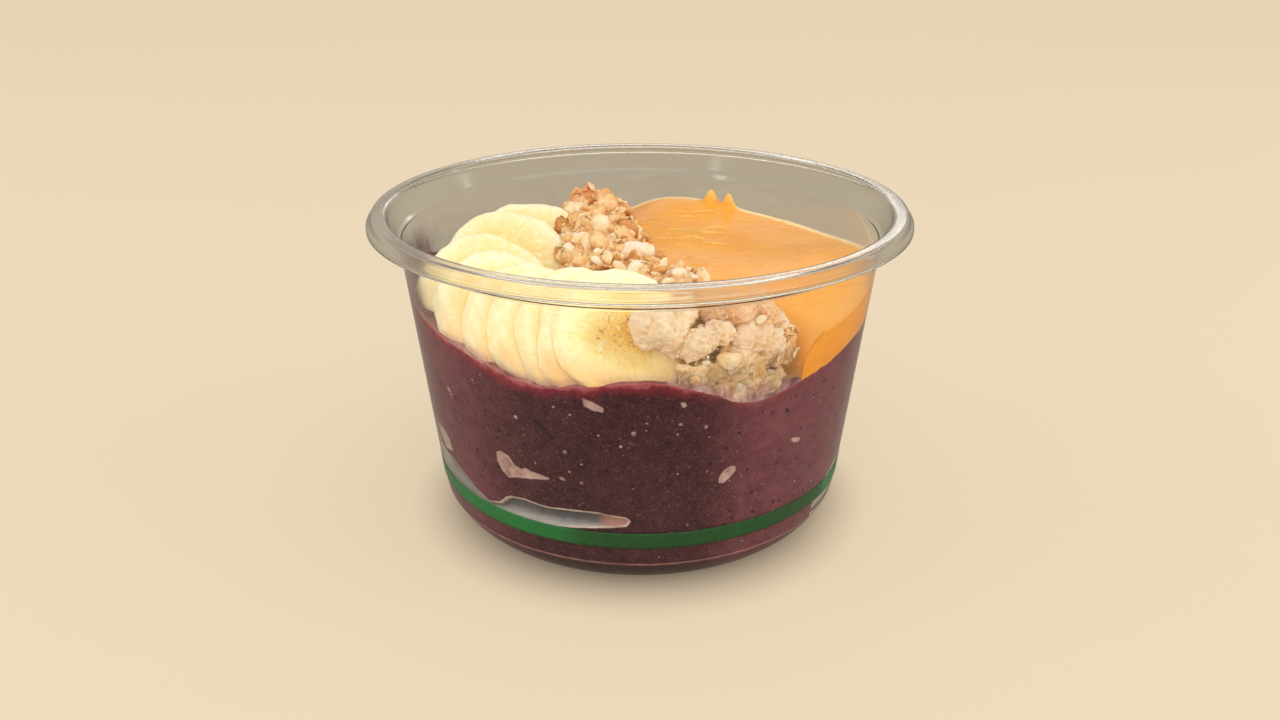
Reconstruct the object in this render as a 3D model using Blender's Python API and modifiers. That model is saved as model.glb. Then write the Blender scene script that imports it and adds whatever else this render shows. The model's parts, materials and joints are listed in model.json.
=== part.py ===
"""Acai bowl: a clear turned bowl filled with acai puree, topped with a fan of banana
slices, a band of granola clusters and a thick spread of peanut butter.

Frame: +Z up, the bowl's axis is Z, z = 0 is the plane the foot stands on, and -Y is the
side on which the banana fan ends and the front granola clusters lie.
All driving dimensions are in millimetres and are turned into metres by MM.
"""

import math

import bmesh
import bpy
from mathutils import Matrix, Vector, noise

# ------------------------------------------------------------------ dimensions
MM = 0.001
GAP = 0.3  # clearance between touching pieces
STEPS = 32  # facets round the bowl's axis

# Bowl (outer sizes)
LIP_R = 59.0  # trim edge of the rim, the widest circle
LIP_Z = 68.5
CREST_Z = 71.4  # top of the rim
CREST_R = (55.2, 57.9)  # flat of the rim, inner and outer
SEAT_TOP = (54.8, 69.3)  # lid seat: radius, height of its upper end
SEAT_FOOT = (53.2, 65.9)
WALL_TOP_Z = 65.2
WALL_R14 = 46.7  # outer radius of the wall 14 mm up
WALL_SLOPE = 0.1128  # outward draft per millimetre of height
WALL_FOOT_Z = 10.7  # where the wall runs into the heel
HEEL_R = 13.0  # radius of the heel's arc
HEEL_C = (33.28, 12.15)  # centre of that arc
FOOT_R = (35.8, 37.9)  # flat ring the bowl stands on
PANEL_Z = 1.0  # the base panel is raised by this much
THICK = 0.6  # moulded wall

# Puree level where it meets the wall: a base level and smooth rises and dips,
# each (angle from the front towards +X in degrees, height, width in degrees)
ACAI_LEVEL = 50.0
ACAI_WAVES = (
    (-88.0, 7.0, 24.0),  # shoulder pushed up at the left
    (-24.0, -2.6, 9.0),  # pressed down by the banana fan
    (26.0, -5.8, 9.0),  # pressed down by the front granola
    (45.0, -3.0, 10.0),  # under the tip of the spread
)
ACAI_MIDDLE = 51.0
# Behind the front wall it sags under the toppings: depth, from and to (angles), run-out
ACAI_SAG = (5.5, -72.0, 60.0, 24.0)

# Banana slices: name, centre, facing angle, lift of the face above level, radius
SLICE_THICK = 5.2
SLICES = (
    ("banana_1", (-25.4, 14.4, 55.4), 6.0, 62.0, 14.2),
    ("banana_2", (-30.2, 2.2, 56.0), 16.0, 57.0, 14.2),
    ("banana_3", (-32.6, -13.2, 54.4), 26.0, 46.0, 14.0),
    ("banana_4", (-28.8, -22.0, 52.8), 40.0, 42.0, 14.0),
    ("banana_5", (-22.8, -27.0, 51.6), 44.0, 35.0, 14.0),
    ("banana_6", (-17.4, -31.2, 51.8), 43.0, 29.0, 13.8),
    ("banana_7", (-12.0, -34.2, 52.4), 38.0, 28.0, 13.8),
    ("banana_8", (-7.2, -37.2, 53.7), 28.0, 32.0, 13.5),
    ("banana_9", (-3.6, -40.6, 55.6), 16.0, 38.0, 13.2),
)

# Peanut butter: plan of its free edge, from the back wall through the middle to
# the tip at the front right, and the sizes of the slab
SPREAD_EDGE = ((-5.5, 50.0), (-4.0, 36.0), (-1.0, 22.0), (1.5, 8.0), (4.5, -4.0), (12.0, -10.5), (19.5, -19.5), (26.0, -27.5), (30.4, -34.5), (33.2, -42.5))
SPREAD_OUT = ((47.0, -44.0), (62.0, -18.0), (64.0, 14.0), (50.0, 46.0), (22.0, 62.0))
SPREAD_MID = (25.0, 10.0)
SPREAD_TOP = 57.0
SPREAD_PEAKS = ((18.4, 45.4, 2.3, 4.8), (22.6, 43.7, 2.1, 4.2))  # x, y, foot radius, height

# Granola clusters as large as a berry: name, centre, radii, turn in degrees, seed.
# The toasted peak narrows upwards by PEAK_TAPER of its width.
PEAK_TAPER = 0.5
CLUSTERS = (
    ("granola_cluster_1", (4.2, -45.0, 58.6), (5.0, 4.2, 4.9), 10.0, 3.1),
    ("granola_cluster_2", (12.6, -43.6, 55.4), (4.6, 3.6, 3.5), -12.0, 7.4),
    ("granola_cluster_3", (21.4, -36.8, 59.6), (4.8, 4.2, 3.6), 25.0, 11.9),
    ("granola_cluster_4", (23.6, -37.6, 52.8), (5.2, 4.6, 5.6), 35.0, 15.2),
    ("granola_cluster_5", (27.9, -36.4, 51.0), (2.6, 2.7, 3.8), 40.0, 21.3),
    ("granola_cluster_6", (-12.9, 38.4, 58.6), (5.6, 5.0, 6.0), 0.0, 26.8),
    ("granola_cluster_7", (-0.8, -4.6, 61.2), (4.2, 3.4, 2.9), -15.0, 31.5),
)
# The two heaps under and between them: centre and radii of each swelling
HEAP_BACK = (
    ((-12.5, 37.0, 57.0), (8.0, 8.5, 6.0)),
    ((-10.0, 27.0, 57.5), (8.5, 8.0, 6.0)),
    ((-14.5, 19.0, 56.5), (6.5, 8.0, 5.6)),
    ((-6.5, 13.0, 57.5), (7.5, 8.0, 5.6)),
    ((-12.0, 4.0, 56.5), (7.0, 8.0, 5.4)),
    ((-4.0, -2.0, 57.0), (7.5, 7.0, 5.4)),
    ((-8.0, -11.0, 56.0), (7.0, 8.0, 5.2)),
    ((2.5, -12.5, 55.6), (7.5, 6.5, 5.2)),
    ((9.5, -17.5, 55.2), (6.5, 6.0, 4.8)),
    ((2.5, -21.5, 54.6), (7.0, 6.0, 5.0)),
)
HEAP_FRONT = (
    ((14.5, -40.5, 49.6), (7.0, 5.5, 6.0)),
    ((19.5, -38.5, 49.0), (7.0, 6.0, 5.5)),
    ((14.0, -33.5, 54.5), (7.0, 6.0, 6.0)),
    ((19.0, -29.5, 54.0), (6.0, 5.5, 5.0)),
    ((8.5, -38.0, 50.5), (5.5, 5.0, 5.0)),
    ((12.0, -27.0, 53.6), (6.5, 6.5, 4.8)),
    ((16.5, -44.2, 48.4), (6.4, 4.6, 4.6)),
    ((22.6, -41.4, 47.6), (4.6, 4.2, 4.2)),
    ((10.4, -45.6, 50.6), (3.8, 3.4, 3.0)),
)
HEAP_GRAIN = 2.1  # voxel of the heaps' skin


# ------------------------------------------------------------------ scene tools
for old in list(bpy.data.objects):
    bpy.data.objects.remove(old, do_unlink=True)

PARTS = bpy.data.collections.new("acai_bowl")
CUTTERS = bpy.data.collections.new("cutters")
bpy.context.scene.collection.children.link(PARTS)
bpy.context.scene.collection.children.link(CUTTERS)


def material(name, colour, roughness, transmission=0.0):
    m = bpy.data.materials.new(name)
    m.use_nodes = True
    b = m.node_tree.nodes["Principled BSDF"]
    b.inputs["Base Color"].default_value = (*colour, 1.0)
    b.inputs["Roughness"].default_value = roughness
    b.inputs["Metallic"].default_value = 0.0
    b.inputs["Transmission Weight"].default_value = transmission
    m.diffuse_color = (*colour, 1.0)
    return m


CLEAR = material("clear_plastic", (0.80, 0.82, 0.80), 0.06, 0.9)
PUREE = material("acai_puree", (0.105, 0.035, 0.042), 0.35)
BANANA = material("banana_flesh", (0.93, 0.80, 0.42), 0.45)
OATS = material("granola_crumb", (0.66, 0.43, 0.21), 0.8)
SPREAD = material("peanut_spread", (0.80, 0.38, 0.08), 0.25)


def put(name, mesh, mat=None, collection=None):
    ob = bpy.data.objects.new(name, mesh)
    (collection or PARTS).objects.link(ob)
    if mat:
        mesh.materials.clear()
        mesh.materials.append(mat)
    return ob


def evaluated(ob):
    dg = bpy.context.evaluated_depsgraph_get()
    dg.update()
    return bpy.data.meshes.new_from_object(ob.evaluated_get(dg))


def largest_island(mesh):
    """Leaves only the body with the most faces, so that a cut leaves no crumbs."""
    bm = bmesh.new()
    bm.from_mesh(mesh)
    bm.faces.ensure_lookup_table()
    seen, groups = set(), []
    for f in bm.faces:
        if f.index in seen:
            continue
        todo, group = [f], []
        seen.add(f.index)
        while todo:
            g = todo.pop()
            group.append(g)
            for e in g.edges:
                for h in e.link_faces:
                    if h.index not in seen:
                        seen.add(h.index)
                        todo.append(h)
        groups.append(group)
    groups.sort(key=len, reverse=True)
    spare = [f for g in groups[1:] for f in g]
    if spare:
        bmesh.ops.delete(bm, geom=spare, context="FACES")
    loose = [v for v in bm.verts if not v.link_faces]
    if loose:
        bmesh.ops.delete(bm, geom=loose, context="VERTS")
    bmesh.ops.remove_doubles(bm, verts=bm.verts, dist=2e-6)
    bmesh.ops.triangulate(bm, faces=bm.faces)
    bm.to_mesh(mesh)
    bm.free()
    return mesh


def bake(ob):
    """The object's evaluated shape becomes its own mesh."""
    mat = ob.data.materials[0] if ob.data.materials else None
    mesh = evaluated(ob)
    ob.modifiers.clear()
    ob.data = largest_island(mesh)
    if mat:
        mesh.materials.clear()
        mesh.materials.append(mat)
    return ob


def cut(ob, others, operation="DIFFERENCE"):
    for o in others:
        m = ob.modifiers.new("cut", "BOOLEAN")
        m.operation = operation
        m.solver = "EXACT"
        m.object = o
    bake(ob)
    return ob


def cutter(name, mesh):
    ob = put(name, mesh, None, CUTTERS)
    ob.hide_render = True
    ob.display_type = "WIRE"
    return ob


def grown(ob, by):
    """A cutter: the object's skin moved out along its normals."""
    mesh = ob.data.copy()
    bm = bmesh.new()
    bm.from_mesh(mesh)
    bm.normal_update()
    moves = [(v, v.normal * by * MM * v.calc_shell_factor() if v.calc_shell_factor() < 1.6 else v.normal * by * MM * 1.6) for v in bm.verts]
    for v, d in moves:
        v.co += d
    bm.to_mesh(mesh)
    bm.free()
    return cutter("grown_" + ob.name, mesh)


def turned(name, profile, mat=None, collection=None, steps=STEPS):
    """Turns a profile of (radius, height) points about Z with a Screw modifier."""
    mesh = bpy.data.meshes.new(name)
    mesh.from_pydata([(r * MM, 0.0, z * MM) for r, z in profile], [(i, i + 1) for i in range(len(profile) - 1)], [])
    ob = put(name, mesh, mat, collection)
    s = ob.modifiers.new("turn", "SCREW")
    s.axis = "Z"
    s.angle = math.tau
    s.steps = s.render_steps = steps
    s.use_merge_vertices = True
    s.merge_threshold = 0.00001
    s.use_smooth_shade = True
    return ob


# ------------------------------------------------------------------ bowl profile
def filleted(points):
    """A polyline through (r, z, fillet) points with each corner rounded, the larger ones more finely."""
    out = [points[0][:2]]
    for (ax, az, _), (bx, bz, rad), (cx, cz, _) in zip(points, points[1:], points[2:]):
        if rad <= 0:
            out.append((bx, bz))
            continue
        u = Vector((ax - bx, az - bz)).normalized()
        w = Vector((cx - bx, cz - bz)).normalized()
        half = u.angle(w) / 2
        reach = rad / math.tan(half)
        centre = Vector((bx, bz)) + (u + w).normalized() * (rad / math.sin(half))
        start = Vector((bx, bz)) + u * reach - centre
        end = Vector((bx, bz)) + w * reach - centre
        turn = start.angle_signed(end)
        count = 2 if rad >= 0.8 else 1
        for k in range(count + 1):
            p = Matrix.Rotation(-turn * k / count, 2) @ start + centre
            out.append((p.x, p.y))
    out.append(points[-1][:2])
    return out


def wall_radius(z):
    return WALL_R14 + WALL_SLOPE * (z - 14.0)


def middle_line():
    """Middle of the moulded wall, from the base's centre out, up and over the rim."""
    h = THICK / 2
    pts = [(0.0, PANEL_Z + h, 0.0), (FOOT_R[0] - 1.1, PANEL_Z + h, 0.5), (FOOT_R[0] + 0.1, h, 0.5)]
    start, stop, count = 69.2, 6.4, 3
    for k in range(count + 1):
        a = math.radians(start + (stop - start) * k / count)
        r = HEEL_R - h
        pts.append((HEEL_C[0] + r * math.cos(a), max(h, HEEL_C[1] - r * math.sin(a)), 0.0))
    pts.append((wall_radius(WALL_TOP_Z) - h, WALL_TOP_Z, 0.5))
    pts.append((SEAT_FOOT[0] - h, SEAT_FOOT[1], 0.4))
    pts.append((SEAT_TOP[0] - h, SEAT_TOP[1], 0.6))
    pts.append((CREST_R[0] - h, CREST_Z - h, 0.7))
    pts.append((CREST_R[1] - h, CREST_Z - h, 0.8))
    pts.append((LIP_R - h, LIP_Z, 0.0))
    return filleted(pts)


def beside(line, by):
    """The line moved sideways, to the inside of the bowl when by is positive."""
    out = []
    for i, (r, z) in enumerate(line):
        p = Vector((r, z))
        a = (p - Vector(line[i - 1])).normalized() if i else None
        b = (Vector(line[i + 1]) - p).normalized() if i + 1 < len(line) else None
        d = a or b
        if a and b:
            d = (a + b).normalized()
        n = Vector((-d.y, d.x))
        stretch = 1.0
        if a and b:
            stretch = 1.0 / max(0.5, n.dot(Vector((-a.y, a.x))))
        q = p + n * by * stretch
        out.append((max(0.0, q.x) if r > 0 else 0.0, q.y))
    return out


MIDDLE = middle_line()
INSIDE = beside(MIDDLE, THICK / 2)
OUTSIDE = beside(MIDDLE, -THICK / 2)

bowl = turned("bowl", INSIDE + OUTSIDE[::-1], CLEAR)


def cavity(name, clear):
    """The bowl's inside, drawn in by a clearance and carried up past the rim."""
    line = [p for p in beside(MIDDLE, THICK / 2 + clear) if p[1] < WALL_TOP_Z - 1.0 and p[0] < LIP_R - 4]
    r_top = wall_radius(90.0) - THICK - clear
    ob = turned(name, [(0.0, 90.0), (r_top, 90.0)] + line[::-1], None, CUTTERS)
    ob.hide_render = True
    ob.display_type = "WIRE"
    bake(ob)
    return ob, line


ROOM, ROOM_LINE = cavity("room", GAP)
SNUG, _ = cavity("snug", 1.3)


# ------------------------------------------------------------------ puree
def wave(angle):
    z = ACAI_LEVEL
    for at, height, width in ACAI_WAVES:
        d = (angle - at + 180.0) % 360.0 - 180.0
        z += height * math.exp(-0.5 * (d / width) ** 2)
    return z


def smooth(t):
    t = min(1.0, max(0.0, t))
    return t * t * (3 - 2 * t)


def puree_level(x, y):
    r = math.hypot(x, y)
    angle = math.degrees(math.atan2(x, -y))
    t = smooth((r / 50.0 - 0.35) / 0.6)
    depth, first, last, run = ACAI_SAG
    sag = depth * smooth((angle - first) / run) * smooth((last - angle) / run)
    sag *= smooth((49.5 - r) / 9.0) * smooth((r - 8.0) / 20.0)
    return ACAI_MIDDLE + (wave(angle) - ACAI_MIDDLE) * t - sag


def loft(rings, name, centre_low, centre_high):
    """Closed skin through rings of equal length, with a fan at each end."""
    mesh = bpy.data.meshes.new(name)
    bm = bmesh.new()
    rows = [[bm.verts.new(Vector(p) * MM) for p in ring] for ring in rings]
    n = len(rows[0])
    for a, b in zip(rows, rows[1:]):
        for i in range(n):
            j = (i + 1) % n
            bm.faces.new((a[i], a[j], b[j], b[i]))
    low, high = bm.verts.new(Vector(centre_low) * MM), bm.verts.new(Vector(centre_high) * MM)
    for i in range(n):
        j = (i + 1) % n
        bm.faces.new((low, rows[0][j], rows[0][i]))
        bm.faces.new((high, rows[-1][i], rows[-1][j]))
    bmesh.ops.triangulate(bm, faces=bm.faces)
    bmesh.ops.recalc_face_normals(bm, faces=bm.faces)
    bm.to_mesh(mesh)
    bm.free()
    mesh.shade_smooth()
    return mesh


def puree():
    side = [p for p in ROOM_LINE if p[0] > 1.0 and p[1] < WALL_FOOT_Z + 2.0]
    rings = []
    for r, z in side:
        rings.append([(r * math.cos(math.tau * i / STEPS), r * math.sin(math.tau * i / STEPS), z) for i in range(STEPS)])
    inner = THICK + GAP
    for f in (0.5, 0.985):
        ring = []
        for i in range(STEPS):
            a = math.tau * i / STEPS
            top = wave(math.degrees(math.atan2(math.cos(a), -math.sin(a))))
            z = side[-1][1] + (top - side[-1][1]) * f
            r = wall_radius(z) - inner
            ring.append((r * math.cos(a), r * math.sin(a), z))
        rings.append(ring)
    for f in (0.985, 0.89, 0.74, 0.5, 0.22):
        ring = []
        for i in range(STEPS):
            a = math.tau * i / STEPS
            r = (wall_radius(50.0) - inner) * f
            x, y = r * math.cos(a), r * math.sin(a)
            ring.append((x, y, puree_level(x, y)))
        rings.append(ring)
    return loft(rings, "acai", (0, 0, ROOM_LINE[0][1]), (0, 0, puree_level(0, 0)))


acai = put("acai", puree(), PUREE)


# ------------------------------------------------------------------ banana slices
def slice_blank(name, radius, seed):
    h = SLICE_THICK / 2
    ob = turned(name, [(0.0, h * 1.02), (radius * 0.88, h * 0.95), (radius, h * 0.42), (radius, -h * 0.42), (radius * 0.88, -h * 0.95), (0.0, -h * 1.02)], BANANA, PARTS, 17)
    bake(ob)
    for v in ob.data.vertices:
        a = math.atan2(v.co.y, v.co.x)
        # a banana is soft-cornered: five faint sides, and no two slices alike
        s = 1.0 + 0.016 * math.cos(5 * a + seed * 1.7) + 0.022 * math.cos(2 * a + seed * 2.3) + 0.010 * math.cos(3 * a + seed)
        v.co.x *= s
        v.co.y *= s
        v.co.z += 0.00025 * math.sin(2 * a + seed) * (math.hypot(v.co.x, v.co.y) / (radius * MM))
    return ob


slices = []
for k, (name, centre, facing, lift, radius) in enumerate(SLICES):
    ob = slice_blank(name, radius, k + 1.0)
    turn = Matrix.Rotation(math.radians(facing), 4, "Z") @ Matrix.Rotation(math.radians(90.0 - lift), 4, "X")
    ob.data.transform(Matrix.Translation(Vector(centre) * MM) @ turn)
    slices.append(ob)
for ob in slices:
    cut(ob, [SNUG], "INTERSECT")
# each piece gives way to the grown shapes of those that it lies against
slice_room = [grown(ob, GAP) for ob in slices]
for k, ob in enumerate(slices[:-1]):
    cut(ob, slice_room[k + 1 : k + 4])


# ------------------------------------------------------------------ peanut butter
def curve_through(points, per):
    """Points on a smooth open curve through the given ones."""
    out = []
    ext = [points[0], *points, points[-1]]
    for i in range(1, len(ext) - 2):
        p0, p1, p2, p3 = (Vector(p) for p in ext[i - 1 : i + 3])
        for k in range(per):
            t = k / per
            out.append(0.5 * ((2 * p1) + (p2 - p0) * t + (2 * p0 - 5 * p1 + 4 * p2 - p3) * t * t + (3 * p1 - p0 - 3 * p2 + p3) * t ** 3))
    out.append(Vector(points[-1]))
    return out


EDGE = curve_through(SPREAD_EDGE, 3)


def from_edge(x, y):
    p, best = Vector((x, y)), 1e9
    for a, b in zip(EDGE, EDGE[1:]):
        d = b - a
        t = min(1.0, max(0.0, (p - a).dot(d) / d.length_squared))
        best = min(best, (p - a - d * t).length)
    return best


def hill(x, y, cx, cy, s):
    return math.exp(-((x - cx) ** 2 + (y - cy) ** 2) / (2 * s * s))


def spread_level(x, y):
    return SPREAD_TOP + 1.4 * hill(x, y, 6, 46, 13) + 3.0 * hill(x, y, 50, -4, 12) + 1.2 * hill(x, y, 49, -17, 6) - 0.12 * max(0.0, -y - 18.0) - 0.6 * hill(x, y, 38, 28, 10)


def spread():
    outline = EDGE + [Vector(p) for p in SPREAD_OUT]
    mid = Vector(SPREAD_MID)
    rings = []

    def ring(f, upper):
        row = []
        for p in outline:
            q = mid + (p - mid) * f
            low = puree_level(q.x, q.y) - 0.8
            if upper:
                e = min(1.0, (from_edge(q.x, q.y) + 0.15) / (3.4 + 3.2 * smooth((-q.y - 16.0) / 18.0)))
                full = spread_level(q.x, q.y) - low
                side = min(1.6, full * 0.4)
                z = low + side + (full - side) * math.sqrt(1 - (1 - e) ** 2)
            else:
                z = low
            row.append((q.x, q.y, z))
        return row

    for f in (0.3, 0.6, 0.85, 1.0):
        rings.append(ring(f, False))
    for f in (1.0, 0.975, 0.93, 0.84, 0.66, 0.4, 0.18):
        rings.append(ring(f, True))
    mx, my = SPREAD_MID
    return loft(rings, "peanut_butter", (mx, my, puree_level(mx, my) - 0.8), (mx, my, spread_level(mx, my)))


butter = put("peanut_butter", spread(), SPREAD)
peaks = []
for k, (x, y, foot, high) in enumerate(SPREAD_PEAKS):
    mesh = bpy.data.meshes.new("peak")
    bm = bmesh.new()
    bmesh.ops.create_cone(bm, cap_ends=True, segments=10, radius1=foot * MM, radius2=0.45 * MM, depth=high * MM)
    lean = Matrix.Rotation(math.radians(-7.0), 4, "X")
    bmesh.ops.transform(bm, matrix=Matrix.Translation(Vector((x, y, 55.9 + high / 2)) * MM) @ lean, verts=bm.verts)
    bm.to_mesh(mesh)
    bm.free()
    peaks.append(cutter(f"peak_{k}", mesh))
cut(butter, peaks, "UNION")
cut(butter, [ROOM], "INTERSECT")
for o in peaks:
    bpy.data.objects.remove(o)


# ------------------------------------------------------------------ granola
def roughen(bm, seed, amount, scale):
    for v in bm.verts:
        p = v.co / MM * scale + Vector((seed, -seed * 0.7, seed * 1.3))
        n = noise.noise(p) + 0.5 * noise.noise(p * 2.1)
        v.co += v.normal * n * amount * MM


def cluster_mesh(name, centre, radii, turn, seed):
    mesh = bpy.data.meshes.new(name)
    bm = bmesh.new()
    bmesh.ops.create_icosphere(bm, subdivisions=3, radius=MM)
    taper = PEAK_TAPER if name == "granola_cluster_6" else 0.0
    for v in bm.verts:
        slim = 1.0 - taper * max(0.0, v.co.z / MM)
        v.co = Vector((v.co.x * radii[0] * slim, v.co.y * radii[1] * slim, v.co.z * radii[2]))
    bm.normal_update()
    roughen(bm, seed, 1.5, 0.34)
    bmesh.ops.transform(bm, matrix=Matrix.Translation(Vector(centre) * MM) @ Matrix.Rotation(math.radians(turn), 4, "Z"), verts=bm.verts)
    bm.to_mesh(mesh)
    bm.free()
    return mesh


def heap(name, swellings, seed):
    """Swellings melted into one rough solid."""
    mesh = bpy.data.meshes.new(name)
    bm = bmesh.new()
    for k, (centre, radii) in enumerate(swellings):
        ball = bmesh.new()
        bmesh.ops.create_icosphere(ball, subdivisions=3, radius=MM)
        for v in ball.verts:
            v.co = Vector((v.co.x * radii[0], v.co.y * radii[1], v.co.z * radii[2]))
        ball.normal_update()
        roughen(ball, seed + 5.3 * k, 2.4, 0.3)
        bmesh.ops.translate(ball, verts=ball.verts, vec=Vector(centre) * MM)
        piece = bpy.data.meshes.new("swelling")
        ball.to_mesh(piece)
        ball.free()
        bm.from_mesh(piece)
        bpy.data.meshes.remove(piece)
    bm.to_mesh(mesh)
    bm.free()
    ob = put(name, mesh, OATS)
    r = ob.modifiers.new("melt", "REMESH")
    r.mode = "VOXEL"
    r.voxel_size = HEAP_GRAIN * MM
    r.adaptivity = 0.0
    d = ob.modifiers.new("thin", "DECIMATE")
    d.ratio = 0.115
    bake(ob)
    return ob


clusters = [put(name, cluster_mesh(name, centre, radii, turn, seed), OATS) for name, centre, radii, turn, seed in CLUSTERS]
for ob in clusters:
    ob.modifiers.new("thin", "DECIMATE").ratio = 0.35
    bake(ob)
heaps = [heap("granola_heap_back", HEAP_BACK, 2.0), heap("granola_heap_front", HEAP_FRONT, 40.0)]

butter_room = grown(butter, GAP)
for ob in clusters + heaps:
    cut(ob, [SNUG], "INTERSECT")
cluster_room = [grown(ob, GAP) for ob in clusters]
heap_room = [grown(ob, GAP) for ob in heaps]
for k, ob in enumerate(clusters):
    cut(ob, slice_room + [butter_room] + cluster_room[:k])
for k, ob in enumerate(heaps):
    cut(ob, slice_room + [butter_room] + cluster_room + heap_room[:k])

# the puree gives way to all that rests in it
cut(acai, slice_room + [butter_room] + cluster_room + heap_room)

for o in list(CUTTERS.objects):
    bpy.data.objects.remove(o)
bpy.data.collections.remove(CUTTERS)

for o in PARTS.objects:
    o.data.shade_smooth()
    o.data.set_sharp_from_angle(angle=math.radians(40))
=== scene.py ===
import json
import math

import bmesh
import bpy
import numpy as np
from mathutils import Matrix, Vector

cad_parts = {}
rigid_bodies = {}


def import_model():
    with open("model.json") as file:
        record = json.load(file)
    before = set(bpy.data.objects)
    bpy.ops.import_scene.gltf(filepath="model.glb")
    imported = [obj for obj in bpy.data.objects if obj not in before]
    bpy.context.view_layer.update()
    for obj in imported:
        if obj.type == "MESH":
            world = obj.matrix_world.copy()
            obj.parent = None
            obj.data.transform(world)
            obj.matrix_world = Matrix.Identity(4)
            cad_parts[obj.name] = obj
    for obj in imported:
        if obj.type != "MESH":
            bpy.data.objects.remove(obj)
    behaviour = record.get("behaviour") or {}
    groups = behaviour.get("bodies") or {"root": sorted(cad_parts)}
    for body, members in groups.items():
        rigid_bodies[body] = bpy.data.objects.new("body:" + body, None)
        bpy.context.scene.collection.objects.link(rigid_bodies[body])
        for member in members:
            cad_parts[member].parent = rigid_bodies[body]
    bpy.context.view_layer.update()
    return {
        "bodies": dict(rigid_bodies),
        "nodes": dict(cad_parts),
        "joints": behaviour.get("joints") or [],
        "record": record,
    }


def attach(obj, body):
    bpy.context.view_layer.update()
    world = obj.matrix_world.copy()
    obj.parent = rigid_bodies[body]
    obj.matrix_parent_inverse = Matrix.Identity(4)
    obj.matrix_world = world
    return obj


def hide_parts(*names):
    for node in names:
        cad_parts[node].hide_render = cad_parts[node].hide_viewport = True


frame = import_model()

# =============================================================================
# Acai bowl: looks. All lengths below are millimetres in the row frame (+Z up, -Y is
# the side where the banana fan ends); MM turns them into metres.
# =============================================================================
MM = 0.001

# ----------------------------------------------------------------------- noise
class Perlin:
    """Gradient noise on arrays of points, about -1..1."""

    def __init__(self, seed):
        r = np.random.RandomState(seed)
        self.p = r.permutation(256)
        g = r.normal(size=(256, 3))
        self.g = g / np.linalg.norm(g, axis=1)[:, None]

    def __call__(self, points):
        points = np.asarray(points, float)
        cell = np.floor(points).astype(np.int64)
        f = points - cell
        u = f * f * f * (f * (f * 6 - 15) + 10)
        total = np.zeros(len(points))
        for dx in (0, 1):
            wx = u[:, 0] if dx else 1 - u[:, 0]
            hx = self.p[(cell[:, 0] + dx) & 255]
            for dy in (0, 1):
                wy = u[:, 1] if dy else 1 - u[:, 1]
                hy = self.p[(hx + cell[:, 1] + dy) & 255]
                for dz in (0, 1):
                    wz = u[:, 2] if dz else 1 - u[:, 2]
                    h = self.p[(hy + cell[:, 2] + dz) & 255]
                    total += wx * wy * wz * ((f - (dx, dy, dz)) * self.g[h]).sum(1)
        return total * 1.7


def fbm(points, scale, octaves=4, seed=1, gain=0.5, ridged=False):
    """Octaves of noise; scale is the largest feature's size in the points' own unit."""
    points = np.asarray(points, float) / scale
    total, amp, norm = 0.0, 1.0, 0.0
    for k in range(octaves):
        n = Perlin(seed + 17 * k)(points)
        total = total + amp * ((1 - 2 * np.abs(n)) if ridged else n)
        norm += amp
        amp *= gain
        points = points * 2.03 + 13.7
    return total / norm


def smooth(t):
    t = np.clip(t, 0, 1)
    return t * t * (3 - 2 * t)


def cells(points, scale, seed):
    """(random height of the nearest cell, distance from its border) for arrays of points."""
    p = np.asarray(points, float) / scale
    cell = np.floor(p).astype(np.int64)
    table = np.random.RandomState(seed).rand(4096, 4)
    d1, d2, height = np.full(len(p), 9.0), np.full(len(p), 9.0), np.zeros(len(p))
    for dx in (-1, 0, 1):
        for dy in (-1, 0, 1):
            for dz in (-1, 0, 1):
                c = cell + np.array([dx, dy, dz])
                k = ((c[:, 0] * 73856093) ^ (c[:, 1] * 19349663) ^ (c[:, 2] * 83492791)) & 4095
                d = np.linalg.norm(c + table[k, :3] - p, axis=1)
                near = d < d1
                d2 = np.where(near, d1, np.minimum(d2, d))
                height = np.where(near, table[k, 3], height)
                d1 = np.where(near, d, d1)
    return height, d2 - d1


def crumbly(points, scale, seed):
    """Grains baked together: each stands out by its own amount, with creases between, about -0.3..1."""
    warp = np.stack([fbm(points, scale * 1.3, 2, seed + k) for k in (1, 2, 3)], -1)
    height, border = cells(points + warp * scale * 0.55, scale, seed)
    return (0.25 + 0.75 * height) * smooth(border / 0.30) - 0.3


# ---------------------------------------------------------------------- meshes
def grid_faces(rows, cols, wrap=True, wrap_rows=False, start=0):
    r = np.arange(rows if wrap_rows else rows - 1)[:, None]
    c = np.arange(cols if wrap else cols - 1)[None, :]
    r2, c2 = (r + 1) % rows, (c + 1) % cols
    quad = np.stack([r * cols + c, r * cols + c2, r2 * cols + c2, r2 * cols + c], -1)
    return quad.reshape(-1, 4) + start


def volume_of(V, faces):
    total = 0.0
    for F in faces:
        a, b, c = V[F[:, 0]], V[F[:, 1]], V[F[:, 2]]
        total += np.einsum("ij,ij->i", a, np.cross(b, c)).sum() / 6
        if F.shape[1] == 4:
            d = V[F[:, 3]]
            total += np.einsum("ij,ij->i", a, np.cross(c, d)).sum() / 6
    return total


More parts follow.
